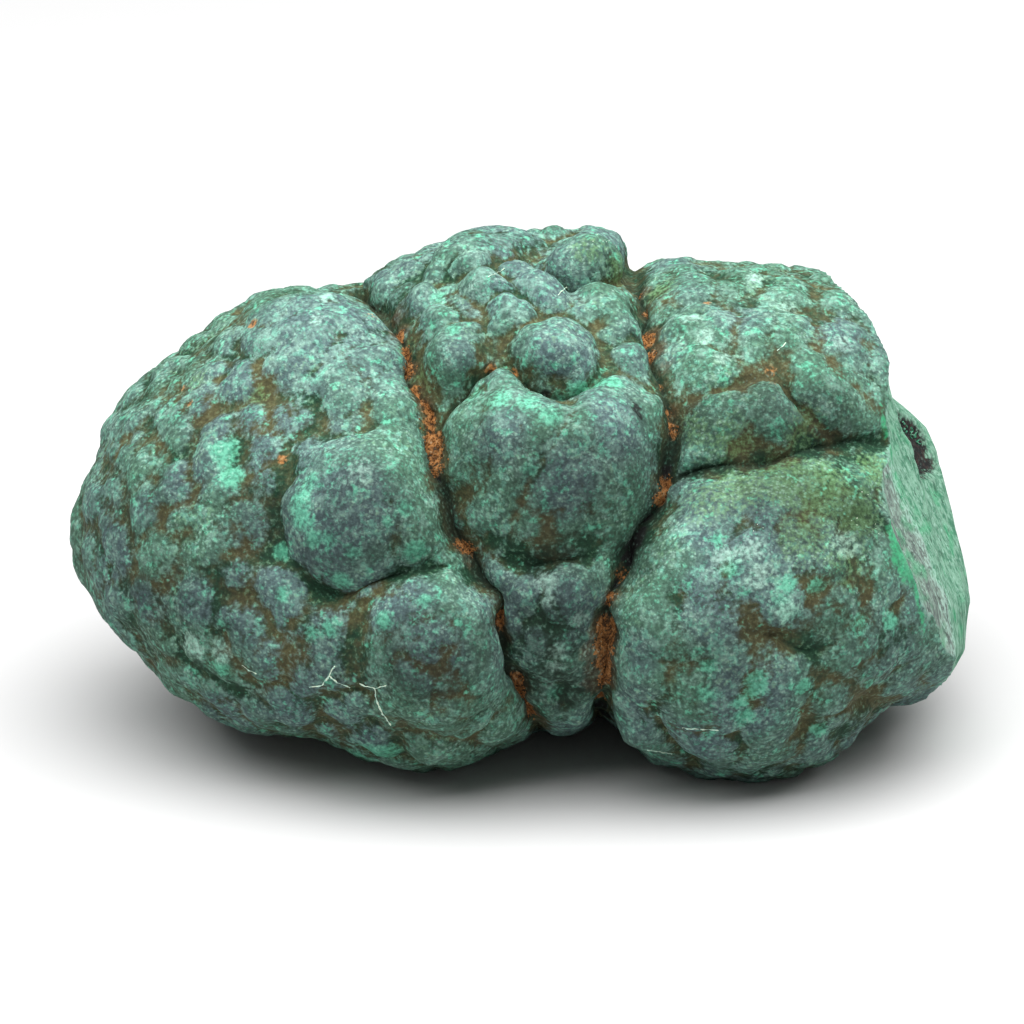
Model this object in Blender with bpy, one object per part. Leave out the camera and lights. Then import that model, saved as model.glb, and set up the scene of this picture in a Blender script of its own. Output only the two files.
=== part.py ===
"""A malachite specimen: one lobed, knobbly stone, broken off square at its right end.

The stone is one solid. Its best face leans back from upright, so it is laid out in that face's own
axes: across the face, up the face and out of the face. The body is an outline inflated to the front
and to the back. Broad swells, creases between the lobes and rounded lumps are then raised or sunk
along its surface. Its underside is flattened, with a few lump tips worn flat where it rests.
Lengths are in millimetres until the mesh is made.
"""

import math

import bpy
import numpy as np

# ---------------------------------------------------------------- driving dimensions (mm, degrees)
LEAN = 22.0            # the face leans back this far from upright
FRONT = 20.0           # how far the body bulges to the front of its rim
BACK = 23.0            # and to the back
FULLNESS = 2.25        # 2 gives an ellipse from rim to top, more gives a fuller body
RIM = (-3.0, -0.22)    # the rim's place out of the face, and its slope up the face
SOFT_FLOOR = -19.9     # the underside flattens out about this height, before its lumps
FLOOR = -20.7          # the tips that reach below this height are worn flat: the stone rests here
ORIGIN = (-0.4, 2.7)    # the middle of the finished stone, across and from front to back
BREAK_FRONT = 13.3     # how far out of the face the broken end's front edge lies, at mid height
BREAK_WIDTH = 16.0     # from there back to where the broken end turns straight back
PIT = (5.4, 0.62, 1.6) # a pit in the broken end: height up, share of the way back, depth
BACK_SEED = 4          # the draw of lumps over the back and the underside
GRID = 112             # faces along each edge of the starting cube
TRIANGLES = 8500       # triangles left in the solid

# The outline of the face, as points across and up.
OUTLINE = [
    (-37.6, 0.0), (-37.2, 2.5), (-35.5, 4.7), (-35.9, 6.8), (-33.6, 8.9), (-32.1, 11.0),
    (-29.6, 12.4), (-27.2, 14.2), (-26.1, 16.1), (-23.9, 16.8), (-21.8, 18.3), (-17.9, 18.1),
    (-15.0, 18.4), (-13.0, 19.8), (-10.1, 20.5), (-8.3, 21.0), (-6.5, 21.5), (-4.8, 22.5),
    (-2.1, 22.9), (1.6, 22.2), (4.6, 23.5), (7.4, 23.2), (8.7, 22.5), (9.1, 19.6), (11.7, 20.5),
    (14.5, 20.4), (17.4, 20.0), (21.8, 19.9), (25.7, 19.5), (29.2, 19.2), (33.0, 17.8), (38.5, 14.0),
    (40.6, 8.0), (42.0, 1.2), (42.3, -4.2), (41.6, -9.2), (39.5, -13.1), (36.4, -14.8),
    (34.2, -15.4), (30.3, -16.7), (28.3, -18.8), (25.7, -21.5), (22.4, -22.3), (18.5, -23.2),
    (14.7, -22.5), (11.2, -21.8), (9.4, -20.3), (8.2, -18.7), (6.4, -17.0), (5.4, -18.4),
    (3.6, -19.2), (1.2, -18.8), (-0.1, -19.8), (-2.9, -20.3), (-5.9, -22.3), (-9.5, -22.0), (-13.8, -21.0),
    (-17.4, -19.4), (-21.2, -19.1), (-24.8, -18.4), (-27.9, -16.9), (-30.2, -15.3), (-31.7, -13.2),
    (-34.0, -10.9), (-36.7, -8.1), (-37.2, -5.1),
]
# The broken end, as (up, across at its front edge, across at its rear edge).
BREAK = [
    (20.5, 26.0, 24.6), (18.9, 26.9, 25.6), (15.5, 29.0, 27.8), (12.3, 30.1, 29.2),
    (10.4, 30.1, 29.9), (9.2, 29.7, 31.0), (7.9, 29.4, 32.5), (6.6, 29.3, 33.8), (4.5, 29.5, 34.8),
    (1.9, 30.0, 35.5), (-0.9, 30.6, 36.3), (-3.0, 31.2, 36.8), (-5.8, 31.9, 37.4),
    (-8.3, 32.4, 37.8), (-9.9, 32.7, 37.4), (-12.4, 33.4, 37.0), (-14.1, 34.1, 35.9),
    (-16.0, 34.4, 34.4),
]
# The creases between the lobes, as (across, up, depth, width to each side).
CREASES = {
    "one": [
        (-15.2, 20.6, 2.6, 5), (-14.7, 18.7, 2.8, 5), (-12.5, 17.2, 2.8, 5), (-10.8, 15.5, 3, 5),
        (-10.3, 13.6, 3.2, 5), (-9.6, 11.9, 3.2, 5), (-8.8, 9.3, 3.2, 5), (-8.2, 7.2, 3.4, 5),
        (-7.5, 4.6, 4, 5.5), (-7.2, 2.9, 4, 6), (-6.4, 0.8, 4.2, 6), (-5.6, -2.6, 4.2, 6),
        (-4.0, -6.0, 4.2, 5), (-2.4, -8.5, 3.8, 4), (-1.5, -11.9, 3.4, 3.6),
        (-0.6, -15.4, 3.2, 3.6), (0.1, -16.8, 2.6, 3.4), (1.3, -19.2, 1.6, 2.8),
    ],
    "two": [
        (9.1, 20.6, 3, 5), (9.2, 19.5, 3, 5), (10.1, 17.8, 2.8, 5), (10.6, 14.0, 2.8, 4.5),
        (11.1, 12.1, 2.8, 4.5), (11.7, 10.2, 2.8, 4.5), (12.4, 8.0, 3, 5), (12.5, 6.3, 3.6, 5),
        (12.3, 4.2, 4.6, 5.5), (11.8, 2.1, 5.6, 5.5), (11.0, -0.0, 6, 5.5), (9.8, -2.2, 6.2, 5.5),
        (8.6, -4.0, 6.2, 5), (7.6, -6.4, 6, 4.4), (7.0, -8.5, 5.2, 4), (6.6, -11.5, 4.4, 4),
        (6.3, -14.9, 3.6, 4), (6.4, -17.2, 2.4, 3), (6.8, -20.0, 2, 3),
    ],
    "three": [
        (11.8, 2.1, 4.2, 6), (14.0, 3.0, 3.4, 6), (16.5, 3.4, 2.8, 6), (19.9, 3.8, 2.6, 6),
        (23.3, 4.7, 2.4, 6), (26.7, 5.2, 2.2, 6), (29.5, 5.5, 2, 5), (31.8, 5.8, 1.6, 5),
    ],
    "heart_top": [
        (-7.2, 2.9, 2.4, 4), (-7.5, 5.5, 2.2, 4), (-6.8, 7.6, 2.4, 4), (-5.4, 9.2, 2.6, 4.5),
        (-3.4, 9.7, 1.6, 4), (-1.3, 9.1, 1.8, 3.5), (0.8, 8.5, 2.6, 4), (2.6, 9.0, 3.4, 5),
        (4.2, 9.8, 2.4, 4), (6.3, 10.6, 1.6, 3.5), (7.9, 11.8, 1.4, 3.5), (9.7, 13.0, 1, 3),
    ],
    "under_round": [
        (-20.4, -4.7, 1, 3.5), (-18.3, -6.2, 1.4, 4), (-16.4, -7.3, 1.8, 4.5),
        (-14.1, -7.1, 2, 4.5), (-11.1, -6.2, 2.2, 4.5), (-8.5, -5.7, 2, 4.5),
        (-6.0, -5.2, 2.2, 4.5),
    ],
    "round_side": [
        (-19.2, 2.9, 1, 3.5), (-20.2, 1.2, 1.2, 3.5), (-20.7, -1.3, 1.2, 3.5),
        (-20.4, -4.7, 1, 3.5),
    ],
    "round_split": [
        (-10.8, 0.4, 0.5, 2), (-10.7, -2.2, 1.3, 2.8), (-10.5, -4.3, 1.5, 2.8),
        (-10.7, -6.0, 1.5, 3),
    ],
    "knee_side": [
        (-11.1, -6.2, 1.4, 3.5), (-13.0, -7.3, 1.2, 3.5), (-14.1, -9.1, 1.2, 3.5),
        (-14.5, -11.5, 1, 3.5), (-14.7, -14.1, 0.8, 3),
    ],
    "top_back": [
        (-0.5, 20.6, 1.2, 3.5), (1.7, 19.8, 2.6, 3.5), (4.2, 18.9, 2.8, 3.5), (6.3, 18.7, 2, 3.5),
        (9.1, 19.8, 1.6, 4),
    ],
    "left_rim": [
        (-22.4, 18.6, 0.8, 2.5), (-24.3, 16.7, 1, 2.5), (-26.4, 14.4, 1, 2.5),
        (-28.1, 13.0, 0.6, 2.5),
    ],
    "heart_low": [
        (-5.7, -3.0, 1.6, 5), (-2.2, -4.4, 2.2, 5), (1.7, -4.9, 2.6, 5.5), (5.5, -4.4, 2.4, 5),
        (8.2, -3.4, 2, 4),
    ],
    "right_fork": [
        (20.8, 11.3, 0.5, 2.5), (21.5, 9.6, 1.3, 3.2), (22.5, 8.2, 1.5, 3.4),
        (24.6, 6.5, 1.5, 3.2), (27.2, 5.8, 1.6, 3.2),
    ],
    "right_fork2": [
        (14.0, 8.7, 0.5, 2.2), (16.5, 9.2, 0.9, 2.6), (18.9, 9.9, 1, 2.8), (21.5, 9.7, 1.2, 3),
    ],
    "right_foot": [
        (10.8, -16.4, 0.6, 3), (11.6, -18.5, 1.2, 3.2), (12.7, -20.2, 1.4, 3.2),
        (14.0, -22.1, 1.4, 3.2),
    ],
    "right_heel": [
        (21.8, -19.2, 0.5, 2.5), (24.4, -17.1, 0.8, 2.5), (27.2, -16.4, 0.8, 2.5),
        (30.0, -15.8, 0.6, 2.5),
    ],
    "right_dimple": [
        (18.7, -10.0, 0.6, 3), (20.4, -11.0, 1.4, 3.4), (22.5, -11.3, 1.2, 3.4),
        (24.6, -10.7, 0.5, 3),
    ],
}
MAIN_CREASES = ("one", "two", "three", "heart_top")    # lumps die away beside these
CREASE_STEP = 0.68     # spacing of the points along a crease
CREASE_FADE = 2.1      # length over which a crease's ends get shallow

# Broad swells of the lobes, as (across, up, radius, rise). A negative rise is a hollow.
SWELLS = [
    (-19.2, 13.1, 11.1, 1.2),
    (-14.1, -0.5, 11.1, 1.4),
    (-8.1, -12.4, 11.1, 1.4),
    (-28.5, 0.4, 11.1, 0.8),
    (-3.0, 17.4, 9.4, 1),
    (2.6, 4.6, 10.2, 3.4),
    (2.9, -12.4, 6.8, -0.6),
    (20.8, -8.1, 16.2, 2.6),
    (19.9, 11.4, 12.8, 0.8),
]

# Rounded lumps on the face, as (across, up, radius, rise).
LUMPS = {
    "left lobe, top part": [
        (-19.2, 14.8, 5.6, 1.3), (-21.9, 17.0, 2.6, 1), (-11.3, 12.1, 1.7, 1.6),
        (-10.5, 8.5, 2.9, 1.7), (-10.2, 5.0, 2.3, 1.3), (-19.5, 10.9, 2.4, 1.5),
        (-15.6, 9.3, 2.6, 1.3), (-17.6, 13.0, 2.0, 1.5), (-12.8, 15.9, 2.2, 0.9),
        (-22.4, 13.6, 1.9, 1.2), (-25.5, 13.1, 1.7, 0.8), (-25.3, 4.6, 2.2, 1.3),
        (-24.6, 2.1, 1.8, 1), (-28.9, 11.9, 1.7, 0.6), (-27.2, 9.3, 2.2, 0.8),
        (-29.5, 6.2, 2.3, 0.9), (-31.9, 9.3, 1.9, 0.7), (-34.3, 6.8, 1.9, 0.8),
        (-32.3, 3.1, 2.1, 1), (-23.4, 8.9, 2.1, 0.9), (-20.0, 6.8, 1.9, 0.7),
        (-15.3, 6.5, 2.0, 0.7), (-28.9, 1.9, 1.8, 0.9), (-16.6, 16.5, 2.2, 1.1),
        (-22.4, 6.8, 1.7, 0.7), (-27.2, 6.8, 1.5, 0.8),
    ],
    "left lobe, far left": [
        (-31.7, -0.6, 2.2, 1.1), (-28.1, -1.3, 1.9, 0.9), (-34.3, -3.7, 1.9, 0.9),
        (-31.1, -4.3, 2.0, 1), (-36.2, 0.4, 1.7, 0.8), (-36.3, -5.1, 1.9, 0.8),
        (-27.2, -4.7, 2.0, 0.9), (-23.8, -1.7, 2.4, 1), (-23.4, -6.0, 2.2, 0.9),
        (-31.9, -7.9, 1.7, 0.9), (-28.1, -7.9, 1.7, 0.9), (-33.6, -11.1, 1.9, 0.8),
        (-30.2, -11.5, 1.7, 0.7), (-27.2, -12.2, 2.1, 1), (-25.3, -13.9, 1.4, 1),
        (-27.2, -15.2, 1.4, 0.7), (-29.4, -15.6, 1.4, 0.6), (-24.9, -17.6, 1.6, 0.8),
        (-24.3, -9.8, 1.9, 0.8), (-35.3, -1.7, 1.4, 0.7),
    ],
    "left lobe, round lumps": [
        (-13.6, -0.6, 7.0, 3), (-18.5, -0.1, 2.9, 1.9), (-8.3, -2.0, 3.4, 2.3),
        (-13.0, 1.4, 3.2, 3.3), (-15.3, -3.4, 3.2, 2.6), (-10.7, 2.1, 2.2, 2.9),
        (-16.6, 2.1, 2.0, 2.4), (-7.5, -11.7, 7.1, 2.6), (-10.5, -9.1, 2.6, 2.3),
        (-4.7, -9.1, 2.9, 2), (-8.1, -15.8, 3.1, 1.8), (-4.4, -13.2, 2.6, 2),
        (-16.8, -11.5, 3.9, 1.4), (-19.5, -7.3, 2.6, 1.2), (-20.0, -16.6, 2.7, 1.1),
        (-22.4, -11.9, 2.4, 1), (-14.9, -16.6, 2.7, 1.1), (-11.1, -16.4, 2.7, 1.2),
        (-5.6, -17.0, 3.1, 1.5), (-12.5, -19.8, 2.6, 1.3), (-7.3, -20.2, 3.1, 1.6),
        (-2.3, -18.7, 2.6, 1.5), (-16.6, -18.5, 1.9, 0.9), (-22.6, -17.0, 2.0, 0.9),
        (-15.3, -13.9, 2.0, 1.2), (-18.3, -13.9, 1.9, 0.9),
    ],
    "centre, top": [
        (-12.8, 18.4, 1.8, 1.2), (-10.2, 19.4, 2.0, 1.2), (-4.9, 20.3, 3.9, 2.2),
        (-3.0, 17.2, 2.2, 1.9), (-1.3, 21.6, 2.6, 1.5), (5.3, 20.4, 3.4, 2.6),
        (-8.5, 17.0, 2.0, 1.5), (-7.5, 14.7, 2.0, 1.7), (-5.9, 11.9, 3.2, 2.5),
        (-2.4, 14.7, 1.7, 1.7), (1.2, 17.4, 2.4, 1.5), (5.3, 17.1, 2.6, 1.8),
        (4.1, 13.3, 4.0, 2.4), (8.2, 14.2, 2.2, 1.8), (9.5, 10.6, 2.7, 1.6),
        (-1.7, 10.3, 2.4, 1.5), (0.2, 18.7, 1.9, 1.2), (-3.9, 18.9, 1.7, 2),
        (-6.7, 18.9, 1.9, 1.8), (-0.5, 14.8, 1.7, 1.2), (7.4, 15.9, 1.7, 1.2),
        (10.6, 8.0, 2.0, 1.2), (1.2, 22.1, 1.9, 1.3), (-5.1, 22.5, 1.7, 1),
    ],
    "heart": [
        (-3.2, 5.5, 4.8, 1.5), (7.4, 6.3, 4.9, 1.5), (2.5, 0.4, 5.3, 1), (9.1, 1.9, 3.2, 1.1),
        (-3.0, 0.4, 3.6, 1.1), (0.4, 5.7, 2.9, 1.5), (4.5, 4.2, 2.7, 1.5), (-5.4, 2.8, 2.0, 1.1),
        (-0.5, 2.9, 2.9, 1.2), (6.3, 1.2, 2.9, 1.1),
    ],
    "wedge": [
        (2.8, -8.1, 3.9, 1.2), (1.9, -12.4, 3.4, 1.2), (5.1, -12.4, 2.2, 0.9),
        (1.4, -17.4, 2.3, 1.1), (4.2, -17.6, 2.1, 1.1), (0.2, -8.1, 2.2, 1),
    ],
    "right top": [
        (14.2, 18.1, 3.1, 0.8), (18.7, 18.1, 2.9, 0.8), (22.9, 17.4, 2.9, 0.7),
        (26.3, 17.0, 2.4, 0.6), (12.3, 14.8, 2.2, 0.8), (15.7, 14.0, 2.7, 0.8),
        (19.5, 14.0, 2.6, 0.8), (22.5, 13.0, 2.7, 0.9), (26.7, 13.1, 2.7, 0.8),
        (14.8, 10.2, 2.7, 1), (16.7, 7.0, 2.7, 1), (20.4, 7.9, 2.9, 1.6), (25.0, 9.4, 3.6, 1.7),
        (27.6, 6.8, 2.2, 1), (14.0, 5.5, 2.4, 0.9), (11.4, 17.4, 1.7, 0.6),
    ],
    "right low": [
        (9.9, -4.7, 1.4, 1.2), (14.8, -0.0, 3.2, 0.6), (19.9, 0.8, 3.6, 0.6),
        (25.5, 1.2, 3.7, 0.6), (14.0, -4.7, 3.6, 0.8), (18.7, -5.1, 3.7, 0.8),
        (23.8, -4.7, 3.7, 0.7), (28.4, -4.7, 3.6, 0.6), (10.6, -9.1, 2.9, 0.9),
        (14.8, -10.2, 3.4, 0.9), (20.8, -14.2, 3.6, 1), (25.9, -10.7, 3.9, 0.8),
        (30.6, -10.7, 3.1, 0.6), (9.7, -14.2, 2.7, 0.9), (14.8, -15.8, 3.6, 0.9),
        (19.9, -17.3, 3.2, 0.9), (25.9, -15.8, 3.4, 0.7), (31.0, -14.9, 2.4, 0.6),
        (10.4, -19.6, 2.7, 1.4), (14.8, -20.2, 3.1, 1), (19.5, -20.4, 3.1, 0.9),
        (24.2, -19.6, 2.7, 0.8), (27.6, -17.5, 2.4, 0.7), (20.8, -8.1, 2.9, 0.9),
        (16.5, -12.8, 2.4, 0.8),
    ],
}

ACROSS = np.array([1.0, 0.0, 0.0])
UP = np.array([0.0, math.sin(math.radians(LEAN)), math.cos(math.radians(LEAN))])
OUT = np.array([0.0, -math.cos(math.radians(LEAN)), math.sin(math.radians(LEAN))])
FACE = np.stack([ACROSS, UP, OUT])
LEVEL = FACE[:, 2]     # world up, in the face's axes


def smoothstep(x, low, high):
    t = np.clip((x - low) / (high - low), 0, 1)
    return t * t * (3 - 2 * t)


# ---------------------------------------------------------------- the body
def outline_radii(evened):
    """Distances from the middle of the face to its outline, all round, evened over some degrees."""
    points = np.array(OUTLINE)
    angles = np.arctan2(points[:, 1], points[:, 0])
    order = np.argsort(angles)
    radii = np.hypot(points[:, 0], points[:, 1])
    radii = np.interp(ROUND, angles[order], radii[order], period=2 * math.pi)
    half = int(evened * 2)
    window = np.hanning(2 * half + 1)
    window /= window.sum()
    return np.convolve(np.concatenate([radii[-half:], radii, radii[:half]]), window, "valid")


ROUND = np.linspace(-math.pi, math.pi, 1441)[:-1]
RIM_RADII = outline_radii(7)
INNER_RADII = outline_radii(42)


def body_reach(angle, out):
    """How far the body reaches across and out of the face, for a direction's angle and out part."""
    out = np.abs(out)
    rounder = smoothstep(out, 0.1, 0.7)
    radius = ((1 - rounder) * np.interp(angle, ROUND, RIM_RADII, period=2 * math.pi)
              + rounder * np.interp(angle, ROUND, INNER_RADII, period=2 * math.pi))
    flat = np.sqrt(1 - out**2)
    size = (flat**FULLNESS + out**FULLNESS) ** (1 / FULLNESS)
    return radius * flat / size, out / size


def flatten_underside(points):
    """The back half sags no lower than the soft floor; the face is left alone."""
    height = points @ LEVEL
    behind = smoothstep(RIM[0] + RIM[1] * points[:, 1] - points[:, 2], 0, 6)
    gap = height - SOFT_FLOOR
    eased = np.where(np.abs(gap) < 2.5, (gap + 2.5) ** 2 / 10, np.maximum(gap, 0))
    return points + ((eased - gap) * behind)[:, None] * LEVEL


def body(directions):
    """Points of the plain body, in the face's axes, for unit directions from its middle."""
    across, up, out = directions.T
    angle = np.arctan2(up, across)
    reach, depth = body_reach(angle, out)
    b = reach * np.sin(angle)
    c = RIM[0] + RIM[1] * b + np.where(out >= 0, FRONT, -BACK) * depth
    return flatten_underside(np.stack([reach * np.cos(angle), b, c], 1))


def on_face(a, b):
    """The points of the body's front that lie over the face points (a, b)."""
    a = np.atleast_1d(np.asarray(a, float))
    b = np.atleast_1d(np.asarray(b, float))
    angle = np.arctan2(b, a)
    wanted = np.hypot(a, b)
    low = np.full(len(a), 0.02)
    high = np.ones(len(a))
    for _ in range(30):
        middle = (low + high) / 2
        too_far = body_reach(angle, middle)[0] > wanted
        low = np.where(too_far, middle, low)
        high = np.where(too_far, high, middle)
    reach, depth = body_reach(angle, low)
    share = np.minimum(reach / np.maximum(wanted, 1e-9), 1)
    return np.stack([a * share, b * share, RIM[0] + RIM[1] * b * share + FRONT * depth], 1)


def is_front(points, margin):
    return points[:, 2] > RIM[0] + RIM[1] * points[:, 1] - margin


def cube_sphere(count):
    """Unit directions and quads of a cube's grid blown up to a sphere."""
    steps = np.tan(np.linspace(-1, 1, count + 1) * math.pi / 4)
    sides = (
        ((1, 0, 0), (0, 1, 0), (0, 0, 1)), ((-1, 0, 0), (0, 0, 1), (0, 1, 0)),
        ((0, 1, 0), (0, 0, 1), (1, 0, 0)), ((0, -1, 0), (1, 0, 0), (0, 0, 1)),
        ((0, 0, 1), (1, 0, 0), (0, 1, 0)), ((0, 0, -1), (0, 1, 0), (1, 0, 0)),
    )
    corner = np.arange(count)[:, None] * (count + 1) + np.arange(count)[None]
    quad = np.stack([corner, corner + count + 1, corner + count + 2, corner + 1], -1).reshape(-1, 4)
    points, quads = [], []
    for side, (normal, u, v) in enumerate(np.array(sides, float)):
        grid = normal + steps[:, None, None] * u + steps[None, :, None] * v
        points.append(grid.reshape(-1, 3))
        quads.append(quad + side * (count + 1) ** 2)
    points = np.concatenate(points)
    points /= np.linalg.norm(points, axis=1, keepdims=True)
    _, first, index = np.unique(np.round(points, 7) + 0.0, axis=0, return_index=True,
                                return_inverse=True)
    return points[first], index.reshape(-1)[np.concatenate(quads)]


def spiral(count):
    """Directions spread evenly over a sphere."""
    step = np.arange(count) + 0.5
    z = 1 - 2 * step / count
    turn = math.pi * (1 + 5 ** 0.5) * step
    ring = np.sqrt(1 - z * z)
    return np.stack([ring * np.cos(turn), ring * np.sin(turn), z], 1)


def vertex_normals(points, quads):
    faces = np.cross(points[quads[:, 2]] - points[quads[:, 0]],
                     points[quads[:, 3]] - points[quads[:, 1]])
    normals = np.zeros_like(points)
    for corner in range(4):
        for axis in range(3):
            normals[:, axis] += np.bincount(quads[:, corner], faces[:, axis], len(points))
    return normals / np.maximum(np.linalg.norm(normals, axis=1, keepdims=True), 1e-12)


def wobble(points, rate, seed):
    """A smooth, seeded unevenness in three directions, between about -1 and 1."""
    rng = np.random.default_rng(seed)
    result = np.zeros_like(points)
    for axis in range(3):
        for _ in range(7):
            wave = rng.normal(size=3)
            wave *= rate * rng.uniform(0.6, 1.5) / np.linalg.norm(wave)
            result[:, axis] += np.sin(points @ wave + rng.uniform(0, 2 * math.pi))
    return result / 2.6


# ---------------------------------------------------------------- swells, creases and lumps
def swell_height(points):
    height = np.zeros(len(points))
    for a, b, radius, rise in SWELLS:
        share = ((points - on_face(a, b)[0]) ** 2).sum(1) / radius ** 2
        height += rise * np.clip(1 - share, 0, 1) ** 2
    return height


def through(stations, at, values):
    """A smooth curve through the values, read at other stations along the same line."""
    slope = np.gradient(values, stations)
    k = np.clip(np.searchsorted(stations, at, side="right") - 1, 0, len(stations) - 2)
    step = stations[k + 1] - stations[k]
    t = (at - stations[k]) / step
    return ((2 * t**3 - 3 * t**2 + 1) * values[k] + (t**3 - 2 * t**2 + t) * step * slope[k]
            + (3 * t**2 - 2 * t**3) * values[k + 1] + (t**3 - t**2) * step * slope[k + 1])


def round_the_rim(path, deep, wide):
    """A crease that reaches the rim of the face runs on round it, and dies out behind."""
    for end, way in ((0, 1), (-1, -1)):
        if path[end, 2] > RIM[0] + RIM[1] * path[end, 1] + 3:
            continue
        inwards = path[end] * (-1, -1, 0)
        extra = path[end] + np.outer((1.5, 4, 8), (0, 0, -1)) + np.outer((0, 0.02, 0.08), inwards)
        fade = deep[end] * np.array([1, 0.7, 0.1])
        same = np.repeat(wide[end], 3)
        path = np.concatenate([extra[::-1], path] if way == 1 else [path, extra])
        deep = np.concatenate([fade[::-1], deep] if way == 1 else [deep, fade])
        wide = np.concatenate([same, wide] if way == 1 else [wide, same])
    return path, deep, wide


def crease_depth(points):
    """How deep the creases sink each point, what is left of a lump there, and how near a crease is."""
    depth = np.zeros(len(points))
    keep = np.ones(len(points))
    reach = np.full(len(points), 2.0)
    front = is_front(points, 10)
    for name, line in CREASES.items():
        line = np.array(line, float)
        stations = np.concatenate([[0], np.cumsum(np.hypot(*np.diff(line[:, :2], axis=0).T))])
        at = np.linspace(0, stations[-1], max(2, int(stations[-1] / CREASE_STEP)))
        a, b, deep, wide = (through(stations, at, line[:, k]) for k in range(4))
        deep = deep * np.minimum(np.minimum(at, stations[-1] - at) / CREASE_FADE + 0.45, 1)
        path, deep, wide = round_the_rim(on_face(a, b), deep, wide)
        inside = (points > path.min(0) - 8) & (points < path.max(0) + 8)
        near = np.where(front & inside.all(1))[0]
        spots = points[near] + 0.25 * wobble(points[near], 1.1, 5)
        sunk = np.zeros(len(near))
        kept = np.ones(len(near))
        close = np.full(len(near), 2.0)
        for k in range(len(path) - 1):
            edge = path[k + 1] - path[k]
            t = np.clip((spots - path[k]) @ edge / (edge @ edge), 0, 1)
            away = np.linalg.norm(spots - path[k] - t[:, None] * edge, axis=1)
            here = deep[k] + t * (deep[k + 1] - deep[k])
            share = away / (wide[k] + t * (wide[k + 1] - wide[k]))
            close = np.minimum(close, share)
            share = np.clip(np.sqrt(share**2 + 0.0016), 0, 1)
            sunk = np.maximum(sunk, here * (1 - np.sqrt(1 - (1 - share) ** 2)))
            if name in MAIN_CREASES:
                far = np.clip((away - 0.1) / (0.55 * here + 0.9), 0, 1)
                kept = np.minimum(kept, far * (2 - far))
        depth[near] = np.maximum(depth[near], sunk)
        keep[near] = np.minimum(keep[near], kept)
        reach[near] = np.minimum(reach[near], close)
    return depth, keep, reach


def fill_lumps(lumps):
    """Small lumps in the gaps that the larger ones leave on the face."""
    rng = np.random.default_rng(9)
    count = 2600
    radii = rng.choice([0.9, 1.2, 1.5, 1.9], count)
    rises = radii * rng.uniform(0.28, 0.42, count)
    spots = body(spiral(count))
    centres = np.array([centre for centre, _, _ in lumps])
    sizes = np.array([radius for _, radius, _ in lumps])
    made = []
    for k in rng.permutation(count):
        spot, radius = spots[k], radii[k]
        if not is_front(spots[k:k + 1], 3.5)[0]:
            continue
        if (np.linalg.norm(centres - spot, axis=1) < 0.8 * sizes + 0.45 * radius).any():
            continue
        if all(np.linalg.norm(spot - c) > 0.75 * (radius + r) for c, r, _ in made):
            made.append((spot, radius, rises[k]))
    return made


def back_lumps():
    """Lumps of mixed size over the back, the ends and the underside."""
    rng = np.random.default_rng(BACK_SEED)
    count = 900
    radii = rng.choice([1.8, 2.4, 3.0, 3.8, 5.0], count, p=[0.25, 0.3, 0.2, 0.15, 0.1])
    rises = radii * rng.uniform(0.22, 0.36, count)
    spots = body(spiral(count))
    made = []
    for k in rng.permutation(count):
        if is_front(spots[k:k + 1], 3.5)[0]:
            continue
        if all(np.linalg.norm(spots[k] - c) > 0.62 * (radii[k] + r) for c, r, _ in made):
            made.append((spots[k], radii[k], rises[k]))
    return made


def lump_height(points):
    spots = points + 0.55 * wobble(points, 0.55, 1) + 0.28 * wobble(points, 1.3, 2)
    lumps = [(on_face(a, b)[0], radius, rise)
             for group in LUMPS.values() for a, b, radius, rise in group]
    lumps += fill_lumps(lumps) + back_lumps()
    height = np.zeros(len(points))
    for centre, radius, rise in lumps:
        share = ((spots - centre) ** 2).sum(1) / radius**2
        on = share < 1
        height[on] = np.maximum(height[on], rise * (1 - share[on]) ** 0.8)
    return height


def relaxed(points, quads, times, share=0.5):
    """Each point moved part of the way to the middle of its neighbours, a number of times."""
    start = quads.reshape(-1)
    end = np.roll(quads, -1, axis=1).reshape(-1)
    count = np.bincount(start, minlength=len(points))
    for _ in range(times):
        middle = np.stack([np.bincount(start, points[end, k], len(points)) for k in range(3)], 1)
        points = points + share * (middle / count[:, None] - points)
    return points


def broken_end(points):
    """The right end cut back to a slanted break, which has a pit near its top."""
    up, front, rear = np.array(BREAK[::-1]).T
    height = points[:, 1]
    front = np.interp(height, up, front)
    rear = np.interp(height, up, rear)
    back = np.clip((BREAK_FRONT + RIM[1] * height - points[:, 2]) / BREAK_WIDTH, -0.5, 1)
    pit = ((height - PIT[0] - 8 * (PIT[1] - back)) / 2.6) ** 2 + ((back - PIT[1]) / 0.27) ** 2
    limit = front + (rear - front) * back - PIT[2] * np.clip(1 - pit, 0, 1)
    return np.stack([np.minimum(points[:, 0], limit), points[:, 1], points[:, 2]], 1)


def stone(count):
    """Points and quads of the whole stone, in the world's axes, resting at height 0."""
    directions, quads = cube_sphere(count)
    points = body(directions)
    depth, keep, near = crease_depth(points)
    rise = swell_height(points) - depth + lump_height(points) * keep
    points = points + vertex_normals(points, quads) * rise[:, None]
    walls = smoothstep(near, 0.25, 0.5) * smoothstep(-near, -1.25, -1)
    points = relaxed(points, quads, 12, 0.5 * walls[:, None])
    points = broken_end(relaxed(points, quads, 2))
    return points @ FACE - np.array([*ORIGIN, FLOOR]), quads


# ---------------------------------------------------------------- the solid
for thing in list(bpy.data.objects):
    bpy.data.objects.remove(thing)

points, quads = stone(GRID)
dense = bpy.data.meshes.new("dense_stone")
dense.from_pydata((points / 1000).tolist(), [], quads.tolist())
dense.update()

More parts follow.
